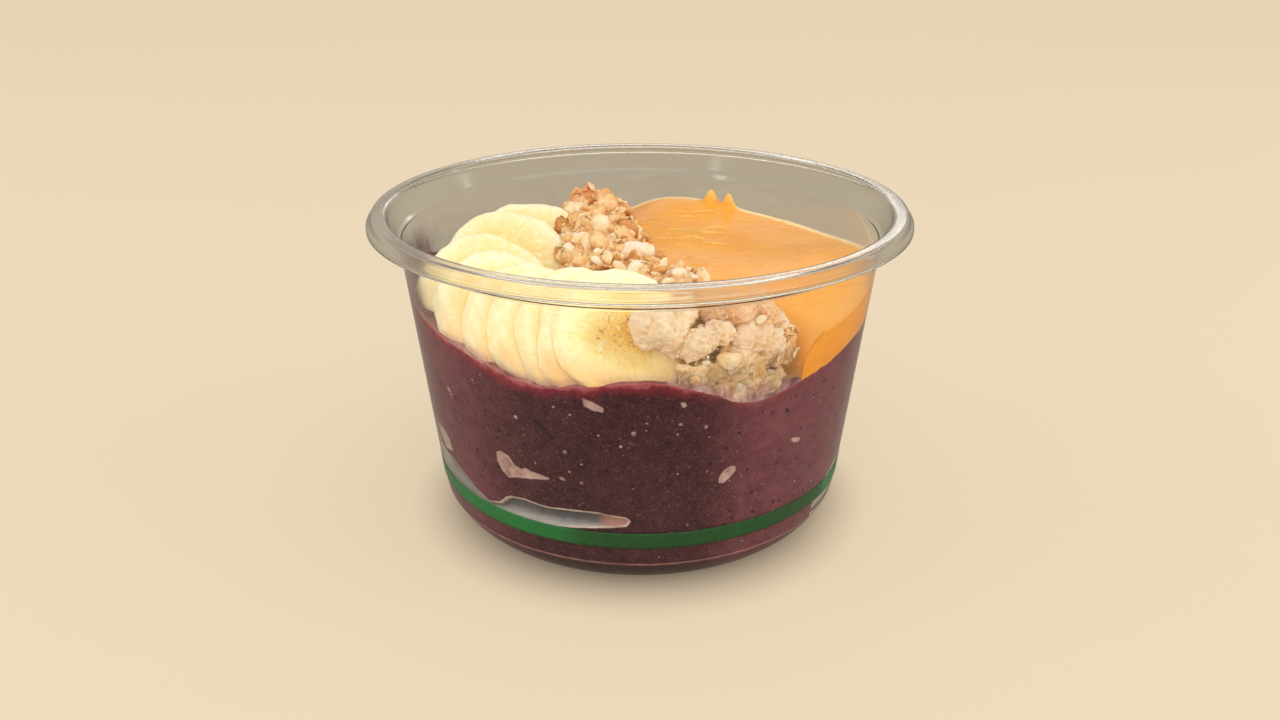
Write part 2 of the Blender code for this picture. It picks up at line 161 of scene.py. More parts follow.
def make_mesh(name, V, faces, attrs=None):
    """A mesh from points in mm and index arrays of triangles and quads, turned outwards."""
    V = np.asarray(V, float)
    faces = [np.asarray(F, np.int64) for F in (faces if isinstance(faces, list) else [faces]) if len(F)]
    if volume_of(V - V.mean(0), faces) < 0:
        faces = [F[:, ::-1] for F in faces]
    me = bpy.data.meshes.new(name)
    me.vertices.add(len(V))
    me.vertices.foreach_set("co", (V * MM).astype(np.float32).ravel())
    loops = np.concatenate([F.ravel() for F in faces])
    sizes = np.concatenate([np.full(len(F), F.shape[1]) for F in faces])
    me.loops.add(len(loops))
    me.loops.foreach_set("vertex_index", loops.astype(np.int32))
    me.polygons.add(len(sizes))
    me.polygons.foreach_set("loop_start", np.concatenate([[0], np.cumsum(sizes)[:-1]]).astype(np.int32))
    me.update(calc_edges=True)
    me.validate()
    for key, values in (attrs or {}).items():
        put_attr(me, key, values)
    me.shade_smooth()
    return me


def put_attr(me, key, values):
    values = np.asarray(values, np.float32)
    if key in me.attributes:
        me.attributes.remove(me.attributes[key])
    if values.ndim == 1:
        me.attributes.new(key, "FLOAT", "POINT").data.foreach_set("value", values)
    else:
        me.attributes.new(key, "FLOAT_VECTOR", "POINT").data.foreach_set("vector", values.ravel())


def points_of(me):
    co = np.empty(len(me.vertices) * 3, np.float32)
    me.vertices.foreach_get("co", co)
    return co.reshape(-1, 3).astype(float) / MM


def normals_of(me):
    n = np.empty(len(me.vertices) * 3, np.float32)
    me.vertex_normals.foreach_get("vector", n)
    return n.reshape(-1, 3).astype(float)


def set_points(me, V):
    me.vertices.foreach_set("co", (np.asarray(V) * MM).astype(np.float32).ravel())
    me.update()


def triangles_of(me):
    me.calc_loop_triangles()
    t = np.empty(len(me.loop_triangles) * 3, np.int32)
    me.loop_triangles.foreach_get("vertices", t)
    return t.reshape(-1, 3)


def add_object(name, me, mat):
    ob = bpy.data.objects.new(name, me)
    bpy.context.scene.collection.objects.link(ob)
    me.materials.clear()
    me.materials.append(mat)
    return ob


def evaluated_mesh(ob):
    dg = bpy.context.evaluated_depsgraph_get()
    dg.update()
    return bpy.data.meshes.new_from_object(ob.evaluated_get(dg))


def remeshed(me, voxel, rounds=0):
    """The mesh's skin remade on an even grid, then smoothed a little."""
    ob = bpy.data.objects.new("skin", me)
    bpy.context.scene.collection.objects.link(ob)
    r = ob.modifiers.new("voxels", "REMESH")
    r.mode = "VOXEL"
    r.voxel_size = voxel * MM
    if rounds:
        s = ob.modifiers.new("even", "SMOOTH")
        s.factor, s.iterations = 0.5, rounds
    out = evaluated_mesh(ob)
    bpy.data.objects.remove(ob)
    return out


def boolean(me, others, operation="DIFFERENCE"):
    """The mesh cut by or held to the others."""
    ob = bpy.data.objects.new("work", me)
    bpy.context.scene.collection.objects.link(ob)
    helpers = []
    for other in others:
        h = bpy.data.objects.new("helper", other)
        bpy.context.scene.collection.objects.link(h)
        helpers.append(h)
        m = ob.modifiers.new("cut", "BOOLEAN")
        m.operation, m.solver, m.object = operation, "MANIFOLD", h
    out = evaluated_mesh(ob)
    for o in helpers + [ob]:
        bpy.data.objects.remove(o)
    return out


def main_body(me):
    """Drops loose crumbs that a cut leaves."""
    bm = bmesh.new()
    bm.from_mesh(me)
    seen, groups = set(), []
    for f in bm.faces:
        if f in seen:
            continue
        todo, group = [f], []
        seen.add(f)
        while todo:
            g = todo.pop()
            group.append(g)
            for e in g.edges:
                for h in e.link_faces:
                    if h not in seen:
                        seen.add(h)
                        todo.append(h)
        groups.append(group)
    groups.sort(key=len, reverse=True)
    spare = [f for g in groups[1:] for f in g]
    if spare:
        bmesh.ops.delete(bm, geom=spare, context="FACES")
    bm.to_mesh(me)
    bm.free()
    return me


# ------------------------------------------------------------------ bowl sizes
LIP_R, CREST_Z = 59.0, 71.4
THICK = 0.6
WALL_TOP_Z, WALL_FOOT_Z = 65.2, 10.7
WALL_R14, WALL_SLOPE = 46.7, 0.1128
HEEL_R, HEEL_C = 13.0, (33.28, 12.15)
FOOT_IN, PANEL_Z = 35.8, 1.0
STRIPE_Z = (11.6, 15.3)
BEAD_Z = 7.3


def wall_radius(z):
    return WALL_R14 + WALL_SLOPE * (z - 14.0)


def filleted(points, fine=6):
    out = [points[0][:2]]
    for (ax, az, _), (bx, bz, rad), (cx, cz, _) in zip(points, points[1:], points[2:]):
        if rad <= 0:
            out.append((bx, bz))
            continue
        u = Vector((ax - bx, az - bz)).normalized()
        w = Vector((cx - bx, cz - bz)).normalized()
        half = u.angle(w) / 2
        reach = rad / math.tan(half)
        centre = Vector((bx, bz)) + (u + w).normalized() * (rad / math.sin(half))
        a = Vector((bx, bz)) + u * reach - centre
        b = Vector((bx, bz)) + w * reach - centre
        turn = a.angle_signed(b)
        for k in range(fine + 1):
            p = Matrix.Rotation(-turn * k / fine, 2) @ a + centre
            out.append((p.x, p.y))
    out.append(points[-1][:2])
    return out


def middle_line(rim=True):
    """Middle of the moulded wall, from the base's centre out, up and over the rim."""
    h = THICK / 2
    pts = [(0.0, PANEL_Z + h, 0.0), (12.0, PANEL_Z + h, 0.0), (24.0, PANEL_Z + h, 0.0), (FOOT_IN - 1.1, PANEL_Z + h, 0.5), (FOOT_IN + 0.1, h, 0.5)]
    start, stop, count = 69.2, 6.4, 22
    for k in range(count + 1):
        a = math.radians(start + (stop - start) * k / count)
        r = HEEL_R - h
        pts.append((HEEL_C[0] + r * math.cos(a), max(h, HEEL_C[1] - r * math.sin(a)), 0.0))
    top = WALL_TOP_Z if rim else 90.0
    for k in range(1, 28):
        z = WALL_FOOT_Z + (top - WALL_FOOT_Z) * k / 28
        pts.append((wall_radius(z) - h, z, 0.0))
    if not rim:
        pts.append((wall_radius(top) - h, top, 0.0))
        return filleted(pts)
    pts.append((wall_radius(WALL_TOP_Z) - h, WALL_TOP_Z, 0.45))
    pts.append((53.2 - h, 65.9, 0.35))
    pts.append((54.8 - h, 69.3, 0.6))
    pts.append((55.2 - h, CREST_Z - h, 0.7))
    pts.append((57.6, CREST_Z - h, 0.8))
    pts.append((58.12, 69.75, 0.35))
    pts.append((LIP_R - h, 69.25, 0.3))
    pts.append((LIP_R - h, 68.5, 0.0))
    return filleted(pts)


def beside(line, by):
    """The line moved sideways, to the inside of the bowl when by is positive."""
    out = []
    for i, (r, z) in enumerate(line):
        p = Vector((r, z))
        a = (p - Vector(line[i - 1])).normalized() if i else None
        b = (Vector(line[i + 1]) - p).normalized() if i + 1 < len(line) else None
        d = (a + b).normalized() if a and b else (a or b)
        n = Vector((-d.y, d.x))
        stretch = 1.0 / max(0.5, n.dot(Vector((-a.y, a.x)))) if a and b else 1.0
        q = p + n * by * stretch
        out.append((max(0.0, q.x) if r > 0 else 0.0, q.y))
    return out


MIDDLE = middle_line()
INSIDE = beside(MIDDLE, THICK / 2)
OUTSIDE = beside(MIDDLE, -THICK / 2)
WALL_ONLY = middle_line(rim=False)


def wall_in(z, into=0.0):
    """Radius of the wall's inner face at a height; into reaches that far into the wall."""
    line = np.array([p for p in beside(WALL_ONLY, THICK / 2) if p[0] > 36.5])
    return np.interp(z, line[:, 1], line[:, 0]) + into


def turned(profile, steps=200, closed=False):
    """(V, faces) of a profile turned about Z; the profile's first and last points may lie on the axis."""
    prof = np.array(profile, float)
    a = np.arange(steps) * math.tau / steps
    on_axis = [] if closed else [k for k in (0, len(prof) - 1) if prof[k, 0] < 1e-6]
    ring_rows = [k for k in range(len(prof)) if k not in on_axis]
    P = prof[ring_rows]
    V = np.stack([P[:, 0, None] * np.sin(a), -P[:, 0, None] * np.cos(a), np.repeat(P[:, 1, None], steps, 1)], -1).reshape(-1, 3)
    faces = [grid_faces(len(P), steps, True, closed)]
    i = np.arange(steps)
    for k in on_axis:
        V = np.vstack([V, [[0, 0, prof[k, 1]]]])
        base = 0 if k == 0 else (len(P) - 1) * steps
        tri = np.stack([np.full(steps, len(V) - 1), base + (i + 1) % steps, base + i], -1)
        faces.append(tri if k == 0 else tri[:, ::-1])
    return V, faces


# ------------------------------------------------------------------- materials
def srgb(r, g, b):
    return tuple(((v / 255 / 12.92) if v / 255 <= 0.04045 else ((v / 255 + 0.055) / 1.055) ** 2.4) for v in (r, g, b)) + (1.0,)


class Mat:
    """A small hand for writing node trees."""

    def __init__(self, name):
        self.m = bpy.data.materials.new(name)
        self.m.use_nodes = True
        self.t = self.m.node_tree
        self.t.nodes.clear()
        self.out = self.t.nodes.new("ShaderNodeOutputMaterial")

    def link(self, socket, value):
        if isinstance(value, bpy.types.NodeSocket):
            self.t.links.new(value, socket)
        elif value is not None:
            socket.default_value = value

    def node(self, kind, props=None, **inputs):
        n = self.t.nodes.new(kind)
        for k, v in (props or {}).items():
            setattr(n, k, v)
        for k, v in inputs.items():
            self.link(n.inputs[k.replace("_", " ")], v)
        return n

    def coords(self):
        return self.node("ShaderNodeTexCoord").outputs["Object"]

    def attr(self, name, vector=False):
        return self.node("ShaderNodeAttribute", {"attribute_name": name}).outputs["Vector" if vector else "Fac"]

    def scaled(self, vec, x, y, z):
        n = self.node("ShaderNodeMapping")
        self.link(n.inputs["Vector"], vec)
        n.inputs["Scale"].default_value = (x, y, z)
        return n.outputs["Vector"]

    def noise(self, vec, scale, detail=3.0, rough=0.5, distortion=0.0):
        return self.node("ShaderNodeTexNoise", Vector=vec, Scale=scale, Detail=detail, Roughness=rough, Distortion=distortion).outputs["Fac"]

    def cells(self, vec, scale, randomness=1.0, feature="F1", out="Distance"):
        return self.node("ShaderNodeTexVoronoi", {"feature": feature}, Vector=vec, Scale=scale, Randomness=randomness).outputs[out]

    def math(self, op, a, b=None, c=None, clamp=False):
        n = self.node("ShaderNodeMath", {"operation": op, "use_clamp": clamp})
        for k, v in enumerate((a, b, c)):
            if v is not None:
                self.link(n.inputs[k], v)
        return n.outputs[0]

    def span(self, value, lo, hi, a=0.0, b=1.0):
        n = self.node("ShaderNodeMapRange", {"interpolation_type": "SMOOTHSTEP"})
        self.link(n.inputs["Value"], value)
        for key, v in (("From Min", lo), ("From Max", hi), ("To Min", a), ("To Max", b)):
            n.inputs[key].default_value = v
        return n.outputs["Result"]

    def mix(self, fac, a, b, blend="MIX"):
        n = self.node("ShaderNodeMix", {"data_type": "RGBA", "blend_type": blend})
        self.link(n.inputs[0], fac)
        self.link(n.inputs[6], a)
        self.link(n.inputs[7], b)
        return n.outputs[2]

    def ramp(self, fac, stops):
        n = self.node("ShaderNodeValToRGB")
        self.link(n.inputs["Fac"], fac)
        el = n.color_ramp.elements
        while len(el) > 1:
            el.remove(el[-1])
        el[0].position, el[0].color = stops[0]
        for pos, col in stops[1:]:
            e = el.new(pos)
            e.color = col
        return n.outputs["Color"]

    def bump(self, height, distance, strength=1.0, normal=None):
        n = self.node("ShaderNodeBump", Height=height)
        n.inputs["Strength"].default_value = strength
        n.inputs["Distance"].default_value = distance
        if normal:
            self.link(n.inputs["Normal"], normal)
        return n.outputs["Normal"]

    def principled(self, **inputs):
        n = self.t.nodes.new("ShaderNodeBsdfPrincipled")
        for k, v in inputs.items():
            self.link(n.inputs[k.replace("_", " ")], v)
        return n

    def done(self, shader):
        self.t.links.new(shader, self.out.inputs["Surface"])
        return self.m


def clear_plastic():
    m = Mat("clear_plastic_look")
    p = m.coords()
    wavy = m.noise(m.scaled(p, 1, 1, 0.35), 55.0, 2.0)
    fine = m.noise(p, 900.0, 3.0)
    # the moulded rim is a touch warmer and softer to look through than the wall
    place = m.node("ShaderNodeSeparateXYZ")
    m.link(place.inputs[0], p)
    rim = m.span(place.outputs[2], 0.0645, 0.0665)
    rough = m.math("ADD", m.span(fine, 0.3, 0.8, 0.04, 0.085), m.math("MULTIPLY", rim, 0.07))
    glass = m.principled(Base_Color=m.mix(rim, srgb(252, 252, 250), srgb(255, 251, 243)), Roughness=rough, IOR=1.46, Transmission_Weight=1.0, Normal=m.bump(wavy, 0.00012, 0.35))
    lamps = m.node("ShaderNodeBsdfTransparent", Color=srgb(252, 252, 250))
    path = m.node("ShaderNodeLightPath")
    through = m.math("MAXIMUM", path.outputs["Is Shadow Ray"], path.outputs["Is Diffuse Ray"])
    both = m.node("ShaderNodeMixShader")
    m.link(both.inputs[0], through)
    m.link(both.inputs[1], glass.outputs[0])
    m.link(both.inputs[2], lamps.outputs[0])
    return m.done(both.outputs[0])


def stripe_ink():
    m = Mat("stripe_ink")
    p = m.coords()
    grain = m.noise(p, 700.0, 4.0, 0.6)
    broad = m.noise(p, 40.0, 2.0)
    col = m.mix(m.span(grain, 0.3, 0.75, 0.0, 0.5), srgb(30, 74, 34), srgb(40, 90, 44))
    col = m.mix(m.span(broad, 0.35, 0.7, 0.0, 0.45), col, srgb(28, 66, 32))
    behind = m.attr("open")  # 1 where air and not fruit lies behind it
    # painted light: the ink is painted a brighter green where air lies behind it, standing in for light shining through
    # the stripe
    col = m.mix(m.math("MULTIPLY", behind, m.span(broad, 0.2, 0.8, 0.7, 1.0)), col, srgb(34, 112, 56))
    b = m.principled(Base_Color=col, Roughness=m.span(grain, 0.2, 0.8, 0.22, 0.4), Specular_IOR_Level=0.4)
    return m.done(b.outputs[0])


def acai_flesh():
    m = Mat("acai_flesh")
    p = m.coords()
    broad = m.noise(p, 70.0, 4.0, 0.55)
    mid = m.noise(p, 420.0, 4.0, 0.6)
    fine = m.noise(p, 1900.0, 3.0, 0.6)
    grain = m.noise(p, 4600.0, 2.0, 0.6)
    col = m.ramp(broad, [(0.25, srgb(44, 13, 22)), (0.5, srgb(54, 18, 28)), (0.75, srgb(66, 26, 36))])
    col = m.mix(m.span(mid, 0.35, 0.75, 0.0, 0.45), col, srgb(88, 46, 54))
    # painted light: paler and pinker towards the left and right of the bowl, standing in for the light on its sides
    painted_side_light = m.attr("painted_side_light")
    painted_side_light_colour = m.ramp(broad, [(0.25, srgb(92, 39, 51)), (0.5, srgb(106, 49, 61)), (0.75, srgb(121, 60, 71))])
    painted_side_light_colour = m.mix(m.span(mid, 0.35, 0.75, 0.0, 0.5), painted_side_light_colour, srgb(128, 78, 82))
    col = m.mix(m.math("MULTIPLY", painted_side_light, 0.85), col, painted_side_light_colour)
    col = m.mix(m.span(fine, 0.5, 0.78, 0.0, 0.5), col, srgb(134, 84, 88))
    col = m.mix(m.span(fine, 0.44, 0.24, 0.0, 0.5), col, srgb(46, 19, 30))
    col = m.mix(m.span(grain, 0.6, 0.8, 0.0, 0.4), col, srgb(170, 124, 124))
    # skins and seed dust, then pale frothy specks
    dark = m.cells(p, 330.0)
    col = m.mix(m.span(dark, 0.17, 0.1, 0.0, 0.85), col, srgb(30, 12, 20))
    pale = m.cells(m.scaled(p, 1.0, 1.0, 1.3), 520.0)
    pick = m.noise(p, 160.0, 1.0)
    pale_on = m.math("MULTIPLY", m.span(pale, 0.18, 0.07), m.span(pick, 0.45, 0.58))
    col = m.mix(m.math("MULTIPLY", pale_on, 0.3), col, srgb(176, 136, 136))
    # thinner and redder towards its upper edge, with a milky lip
    edge = m.attr("edge")  # mm below the edge, plus noise
    redder = m.math("MULTIPLY", m.attr("redder"), m.span(broad, 0.3, 0.6, 0.45, 1.0))
    col = m.mix(m.math("MULTIPLY", m.span(edge, 3.4, 0.4, 0.0, 0.85), redder), col, srgb(132, 36, 50))
    col = m.mix(m.math("MULTIPLY", m.span(edge, 1.1, 0.1, 0.0, 0.6), redder), col, srgb(190, 104, 106))
    # painted highlight and shade: the moulded bead round the heel is painted onto the blend as a fine pale line, with
    # painted shade below it
    tall = m.node("ShaderNodeSeparateXYZ")
    m.link(tall.inputs[0], p)
    up = m.math("ADD", tall.outputs[2], m.math("MULTIPLY", m.math("SUBTRACT", broad, 0.5), 0.0005))
    line = m.span(m.math("ABSOLUTE", m.math("SUBTRACT", up, 0.00705)), 0.00032, 0.00006)
    col = m.mix(m.span(up, 0.0068, 0.0060, 0.0, 0.45), col, srgb(44, 19, 28))
    col = m.mix(m.math("MULTIPLY", line, m.span(mid, 0.3, 0.7, 0.35, 0.75)), col, srgb(178, 128, 122))
    # air trapped against the wall, coloured with painted shade: dark under a painted bright lip, paler further down
    pocket = m.attr("pocket")  # mm inside its outline
    high = m.math("ADD", m.attr("pocket_up"), m.math("MULTIPLY", m.math("SUBTRACT", mid, 0.5), 0.3))
    air = m.ramp(high, [(0.0, srgb(196, 186, 178)), (0.26, srgb(150, 144, 144)), (0.5, srgb(88, 86, 94)), (0.85, srgb(62, 60, 70)), (1.0, srgb(96, 90, 94))])
    air = m.mix(m.span(pocket, 1.1, 0.2, 0.0, 0.7), air, srgb(190, 178, 170))
    air = m.mix(m.attr("pocket_end"), air, srgb(166, 120, 112))
    col = m.mix(m.span(pocket, 0.0, 0.3), col, air)
    # painted highlight: a pale lip along the pocket's outline
    lip = m.math("MULTIPLY", m.span(pocket, -0.12, 0.12), m.span(pocket, 0.55, 0.25))
    col = m.mix(m.math("MULTIPLY", lip, m.span(mid, 0.35, 0.65, 0.25, 0.85)), col, srgb(214, 194, 182))
    # thin patches where the plastic is touched by froth only
    patch = m.attr("patch")
    smear = m.mix(m.span(mid, 0.3, 0.7), srgb(150, 108, 104), srgb(196, 164, 154))
    col = m.mix(m.span(patch, -0.1, 0.35, 0.0, 0.9), col, smear)
    patch_lip = m.math("MULTIPLY", m.span(patch, -0.15, 0.1), m.span(patch, 0.5, 0.2))
    col = m.mix(m.math("MULTIPLY", patch_lip, 0.3), col, srgb(208, 178, 168))
    col = m.mix(m.span(m.attr("skin"), -0.35, 0.5, 0.0, 0.85), col, srgb(26, 11, 17))
    height = m.math("ADD", m.math("MULTIPLY", mid, 0.6), m.math("MULTIPLY", fine, 0.4))
    b = m.principled(Base_Color=col, Roughness=m.span(mid, 0.3, 0.7, 0.36, 0.52), Specular_IOR_Level=0.25, Normal=m.bump(height, 0.0003, 0.5))
    b.inputs["Subsurface Weight"].default_value = 0.12
    b.inputs["Subsurface Radius"].default_value = (1.0, 0.35, 0.45)
    b.inputs["Subsurface Scale"].default_value = 0.0012
    return m.done(b.outputs[0])


def film(name, colour, most):
    """A thin see-through smear on the wall; its 'thin' attribute fades it out."""
    m = Mat(name)
    p = m.coords()
    cloud = m.noise(m.scaled(p, 1.0, 1.0, 0.6), 260.0, 5.0, 0.62)
    streak = m.noise(m.scaled(p, 1.0, 1.0, 0.25), 900.0, 3.0, 0.6)
    thick = m.attr("thin")
    a = m.math("MULTIPLY", thick, m.span(cloud, 0.3, 0.62, 0.25, 1.0))
    a = m.math("MULTIPLY", a, m.span(streak, 0.25, 0.75, 0.65, 1.0))
    col = m.mix(m.span(cloud, 0.3, 0.7), colour[0], colour[1])
    b = m.principled(Base_Color=col, Roughness=m.span(cloud, 0.2, 0.8, 0.35, 0.55), Alpha=m.math("MULTIPLY", a, most))
    return m.done(b.outputs[0])


def banana_flesh():
    m = Mat("banana_flesh_look")
    q = m.attr("local", vector=True)  # slice coordinates: radius 1 at the rim, z through it
    sep = m.node("ShaderNodeSeparateXYZ")
    m.link(sep.inputs[0], q)
    x, y, z = sep.outputs
    rad = m.math("SQRT", m.math("ADD", m.math("MULTIPLY", x, x), m.math("MULTIPLY", y, y)))
    ang = m.math("ARCTAN2", y, x)
    seed = m.attr("seed")
    ripe = m.attr("ripe")  # 1 on the last slice, whose heart is brown and golden
    p = m.coords()
    broad = m.noise(p, 130.0, 3.0, 0.5)
    mid = m.noise(p, 480.0, 4.0, 0.62)
    fine = m.noise(p, 2200.0, 3.0, 0.6)
    # the face: a cream border, a pale yellow body and a warmer three-sided heart
    lobes = m.math("COSINE", m.math("MULTIPLY_ADD", ang, 3.0, m.math("MULTIPLY", seed, 2.1)))
    r2 = m.math("ADD", rad, m.math("MULTIPLY", lobes, 0.05))
    r2 = m.math("ADD", r2, m.math("MULTIPLY", m.math("SUBTRACT", broad, 0.5), 0.26))
    r2 = m.math("ADD", r2, m.math("MULTIPLY", m.math("SUBTRACT", mid, 0.5), 0.10))
    face = m.ramp(r2, [(0.0, srgb(245, 206, 122)), (0.16, srgb(248, 213, 132)), (0.30, srgb(251, 222, 150)), (0.42, srgb(249, 216, 138)), (0.62, srgb(252, 225, 158)), (0.84, srgb(253, 231, 178)), (0.93, srgb(254, 237, 200)), (1.0, srgb(253, 228, 184))])
    old = m.ramp(r2, [(0.0, srgb(240, 184, 88)), (0.2, srgb(247, 204, 114)), (0.4, srgb(251, 220, 140)), (0.62, srgb(254, 237, 172)), (0.86, srgb(254, 242, 194)), (1.0, srgb(250, 232, 184))])
    face = m.mix(ripe, face, old)
    # fibres that run out from the heart
    spoke = m.node("ShaderNodeCombineXYZ")
    m.link(spoke.inputs[0], m.math("MULTIPLY", m.math("COSINE", ang), m.math("ADD", m.math("MULTIPLY", rad, 0.5), 4.0)))
    m.link(spoke.inputs[1], m.math("MULTIPLY", m.math("SINE", ang), m.math("ADD", m.math("MULTIPLY", rad, 0.5), 4.0)))
    m.link(spoke.inputs[2], m.math("ADD", m.math("MULTIPLY", rad, 1.6), m.math("MULTIPLY", seed, 3.0)))
    rays = m.noise(spoke.outputs[0], 3.2, 4.0, 0.62)
    on_face = m.span(rad, 0.12, 0.35)
    face = m.mix(m.math("MULTIPLY", on_face, m.span(rays, 0.52, 0.72, 0.0, 0.5)), face, srgb(255, 249, 220))
    face = m.mix(m.math("MULTIPLY", on_face, m.span(rays, 0.48, 0.28, 0.0, 0.5)), face, srgb(242, 210, 128))
    curd = m.noise(p, 900.0, 3.0, 0.7, 0.6)
    face = m.mix(m.span(curd, 0.52, 0.7, 0.0, 0.6), face, srgb(255, 248, 222))
    face = m.mix(m.span(curd, 0.44, 0.25, 0.0, 0.5), face, srgb(247, 206, 118))
    # small seeds in the heart
    seedring = m.span(m.math("ABSOLUTE", m.math("SUBTRACT", r2, 0.24)), 0.12, 0.02)
    pip = m.cells(q, 11.0)
    pips = m.math("MULTIPLY", m.span(pip, 0.26, 0.14), seedring)
    face = m.mix(m.math("MULTIPLY", pips, 0.6), face, srgb(186, 132, 66))
    crumbly = m.noise(q, 8.0, 5.0, 0.75, 1.2)
    near = m.math("MULTIPLY", ripe, m.span(r2, 0.62, 0.18))
    face = m.mix(m.math("MULTIPLY", near, m.span(crumbly, 0.52, 0.66, 0.0, 0.85)), face, srgb(178, 116, 48))
    face = m.mix(m.math("MULTIPLY", near, m.span(crumbly, 0.44, 0.3, 0.0, 0.7)), face, srgb(255, 236, 158))
    spot = m.cells(q, 5.5)
    face = m.mix(m.math("MULTIPLY", m.math("MULTIPLY", near, m.span(spot, 0.11, 0.06)), 0.9), face, srgb(120, 70, 34))
    # the peeled side: cream, a little fibrous
    side = m.mix(m.span(mid, 0.3, 0.7, 0.0, 1.0), srgb(250, 226, 172), srgb(254, 240, 200))
    col = m.mix(m.span(rad, 0.93, 1.0), face, side)
    # soft bruises and moisture
    col = m.mix(m.span(broad, 0.6, 0.8, 0.0, 0.4), col, srgb(240, 206, 126))
    col = m.mix(m.span(fine, 0.6, 0.85, 0.0, 0.3), col, srgb(255, 251, 228))
    wall = m.attr("wall")  # 1 where the slice is pressed against the plastic
    # paler cream where pressed on the plastic: partly the pressed flesh's own colour, partly painted light brightening
    # it
    pressed_and_lit = m.mix(m.span(mid, 0.3, 0.7), srgb(255, 226, 180), srgb(255, 244, 216))
    pressed_and_lit = m.mix(m.span(broad, 0.42, 0.7, 0.0, 0.8), pressed_and_lit, srgb(252, 208, 138))
    col = m.mix(m.math("MULTIPLY", wall, 0.8), col, pressed_and_lit)
    # amber and half clear low down, where it sits in the blend
    amber = m.math("MULTIPLY", m.attr("amber"), m.span(broad, 0.3, 0.65, 0.55, 1.0))
    col = m.mix(amber, col, m.mix(m.span(mid, 0.3, 0.7), srgb(232, 176, 92), srgb(244, 202, 126)))
    # painted shade: warm golden-brown in the creases where a slice meets the next one at the wall
    col = m.mix(m.math("MULTIPLY", m.attr("crease"), m.span(mid, 0.2, 0.7, 0.45, 0.85)), col, srgb(226, 170, 104))
    h = m.math("ADD", m.math("MULTIPLY", mid, 0.5), m.math("MULTIPLY", fine, 0.3))
    h = m.math("ADD", h, m.math("MULTIPLY", rays, 0.4))
    h = m.math("ADD", h, m.math("MULTIPLY", curd, 0.5))
    # painted light: an emission glow at the wall, towards the front of the bowl and in the creases, standing in for
    # light soaking through the flesh
    low_front = m.node("ShaderNodeSeparateXYZ")
    m.link(low_front.inputs[0], p)
    front = m.math("MULTIPLY", m.span(low_front.outputs[1], -0.008, -0.022), m.span(rad, 0.4, 0.72))
    front = m.math("MULTIPLY", front, m.math("SUBTRACT", 1.0, m.attr("amber")))
    glow = m.mix(m.math("MAXIMUM", m.math("MULTIPLY", wall, 0.6), m.math("MULTIPLY", front, 0.5)), srgb(0, 0, 0), m.mix(0.4, col, srgb(234, 232, 208)))
    glow = m.mix(m.math("MULTIPLY", m.attr("crease"), 0.65), glow, srgb(252, 216, 162))
    b = m.principled(Base_Color=col, Roughness=m.span(mid, 0.3, 0.7, 0.34, 0.55), Specular_IOR_Level=0.35, Normal=m.bump(h, 0.00028, 0.7), Emission_Color=glow)
    b.inputs["Emission Strength"].default_value = 0.26
    b.inputs["Subsurface Weight"].default_value = 0.6
    b.inputs["Subsurface Radius"].default_value = (1.0, 0.8, 0.4)
    b.inputs["Subsurface Scale"].default_value = 0.003
    return m.done(b.outputs[0])


def nut_spread():
    m = Mat("nut_spread_look")
    p = m.coords()
    broad = m.noise(p, 60.0, 3.0, 0.5)
    streak = m.noise(m.scaled(p, 0.3, 1.0, 1.0), 300.0, 4.0, 0.55, 0.8)
    fine = m.noise(p, 2200.0, 3.0, 0.6)
    col = m.ramp(broad, [(0.25, srgb(236, 154, 48)), (0.5, srgb(242, 164, 56)), (0.75, srgb(247, 174, 68))])
    col = m.mix(m.span(streak, 0.55, 0.8, 0.0, 0.22), col, srgb(249, 188, 100))
    col = m.mix(m.span(streak, 0.44, 0.24, 0.0, 0.34), col, srgb(222, 140, 52))
    col = m.mix(m.span(fine, 0.62, 0.8, 0.0, 0.12), col, srgb(214, 136, 54))
    # painted highlight: the crests of the folds and spoon marks are painted paler, as glints
    col = m.mix(m.span(m.attr("crest_glint"), 0.12, 0.8, 0.0, 0.75), col, srgb(254, 214, 144))
    rim = m.attr("rim")  # 1 where it is smeared thin up the back wall
    # paler where smeared thin up the back wall: partly the thin smear's own colour, partly a painted highlight on that
    # edge
    col = m.mix(m.math("MULTIPLY", rim, 0.95), col, srgb(255, 228, 168))
    wall = m.attr("wall")
    deep = m.ramp(m.math("ADD", broad, m.math("MULTIPLY", m.math("SUBTRACT", streak, 0.5), 0.3)), [(0.3, srgb(214, 132, 34)), (0.7, srgb(234, 154, 44))])
    col = m.mix(m.math("MULTIPLY", wall, 0.85), col, deep)
    tip = m.attr("tip")  # pulled-up peaks, painted paler yellow as painted light let through their thin tips
    col = m.mix(m.math("MULTIPLY", tip, 0.9), col, srgb(244, 198, 108))
    h = m.math("ADD", m.math("MULTIPLY", streak, 0.7), m.math("MULTIPLY", fine, 0.1))
    # painted light: an emission glow where the spread nears the front of the wall, standing in for light soaking in
    place = m.node("ShaderNodeSeparateXYZ")
    m.link(place.inputs[0], p)
    near = m.math("MULTIPLY", m.span(place.outputs[1], 0.002, -0.018), m.math("SUBTRACT", 1.0, wall))
    glow = m.mix(m.math("MULTIPLY", near, 0.45), srgb(0, 0, 0), srgb(255, 186, 90))
    b = m.principled(Base_Color=col, Roughness=m.span(streak, 0.3, 0.7, 0.26, 0.38), Specular_IOR_Level=0.3, Normal=m.bump(h, 0.00016, 0.4), Emission_Color=glow)
    b.inputs["Emission Strength"].default_value = 0.28
    b.inputs["Subsurface Weight"].default_value = 0.2
    b.inputs["Subsurface Radius"].default_value = (1.0, 0.55, 0.2)
    b.inputs["Subsurface Scale"].default_value = 0.0016
    return m.done(b.outputs[0])


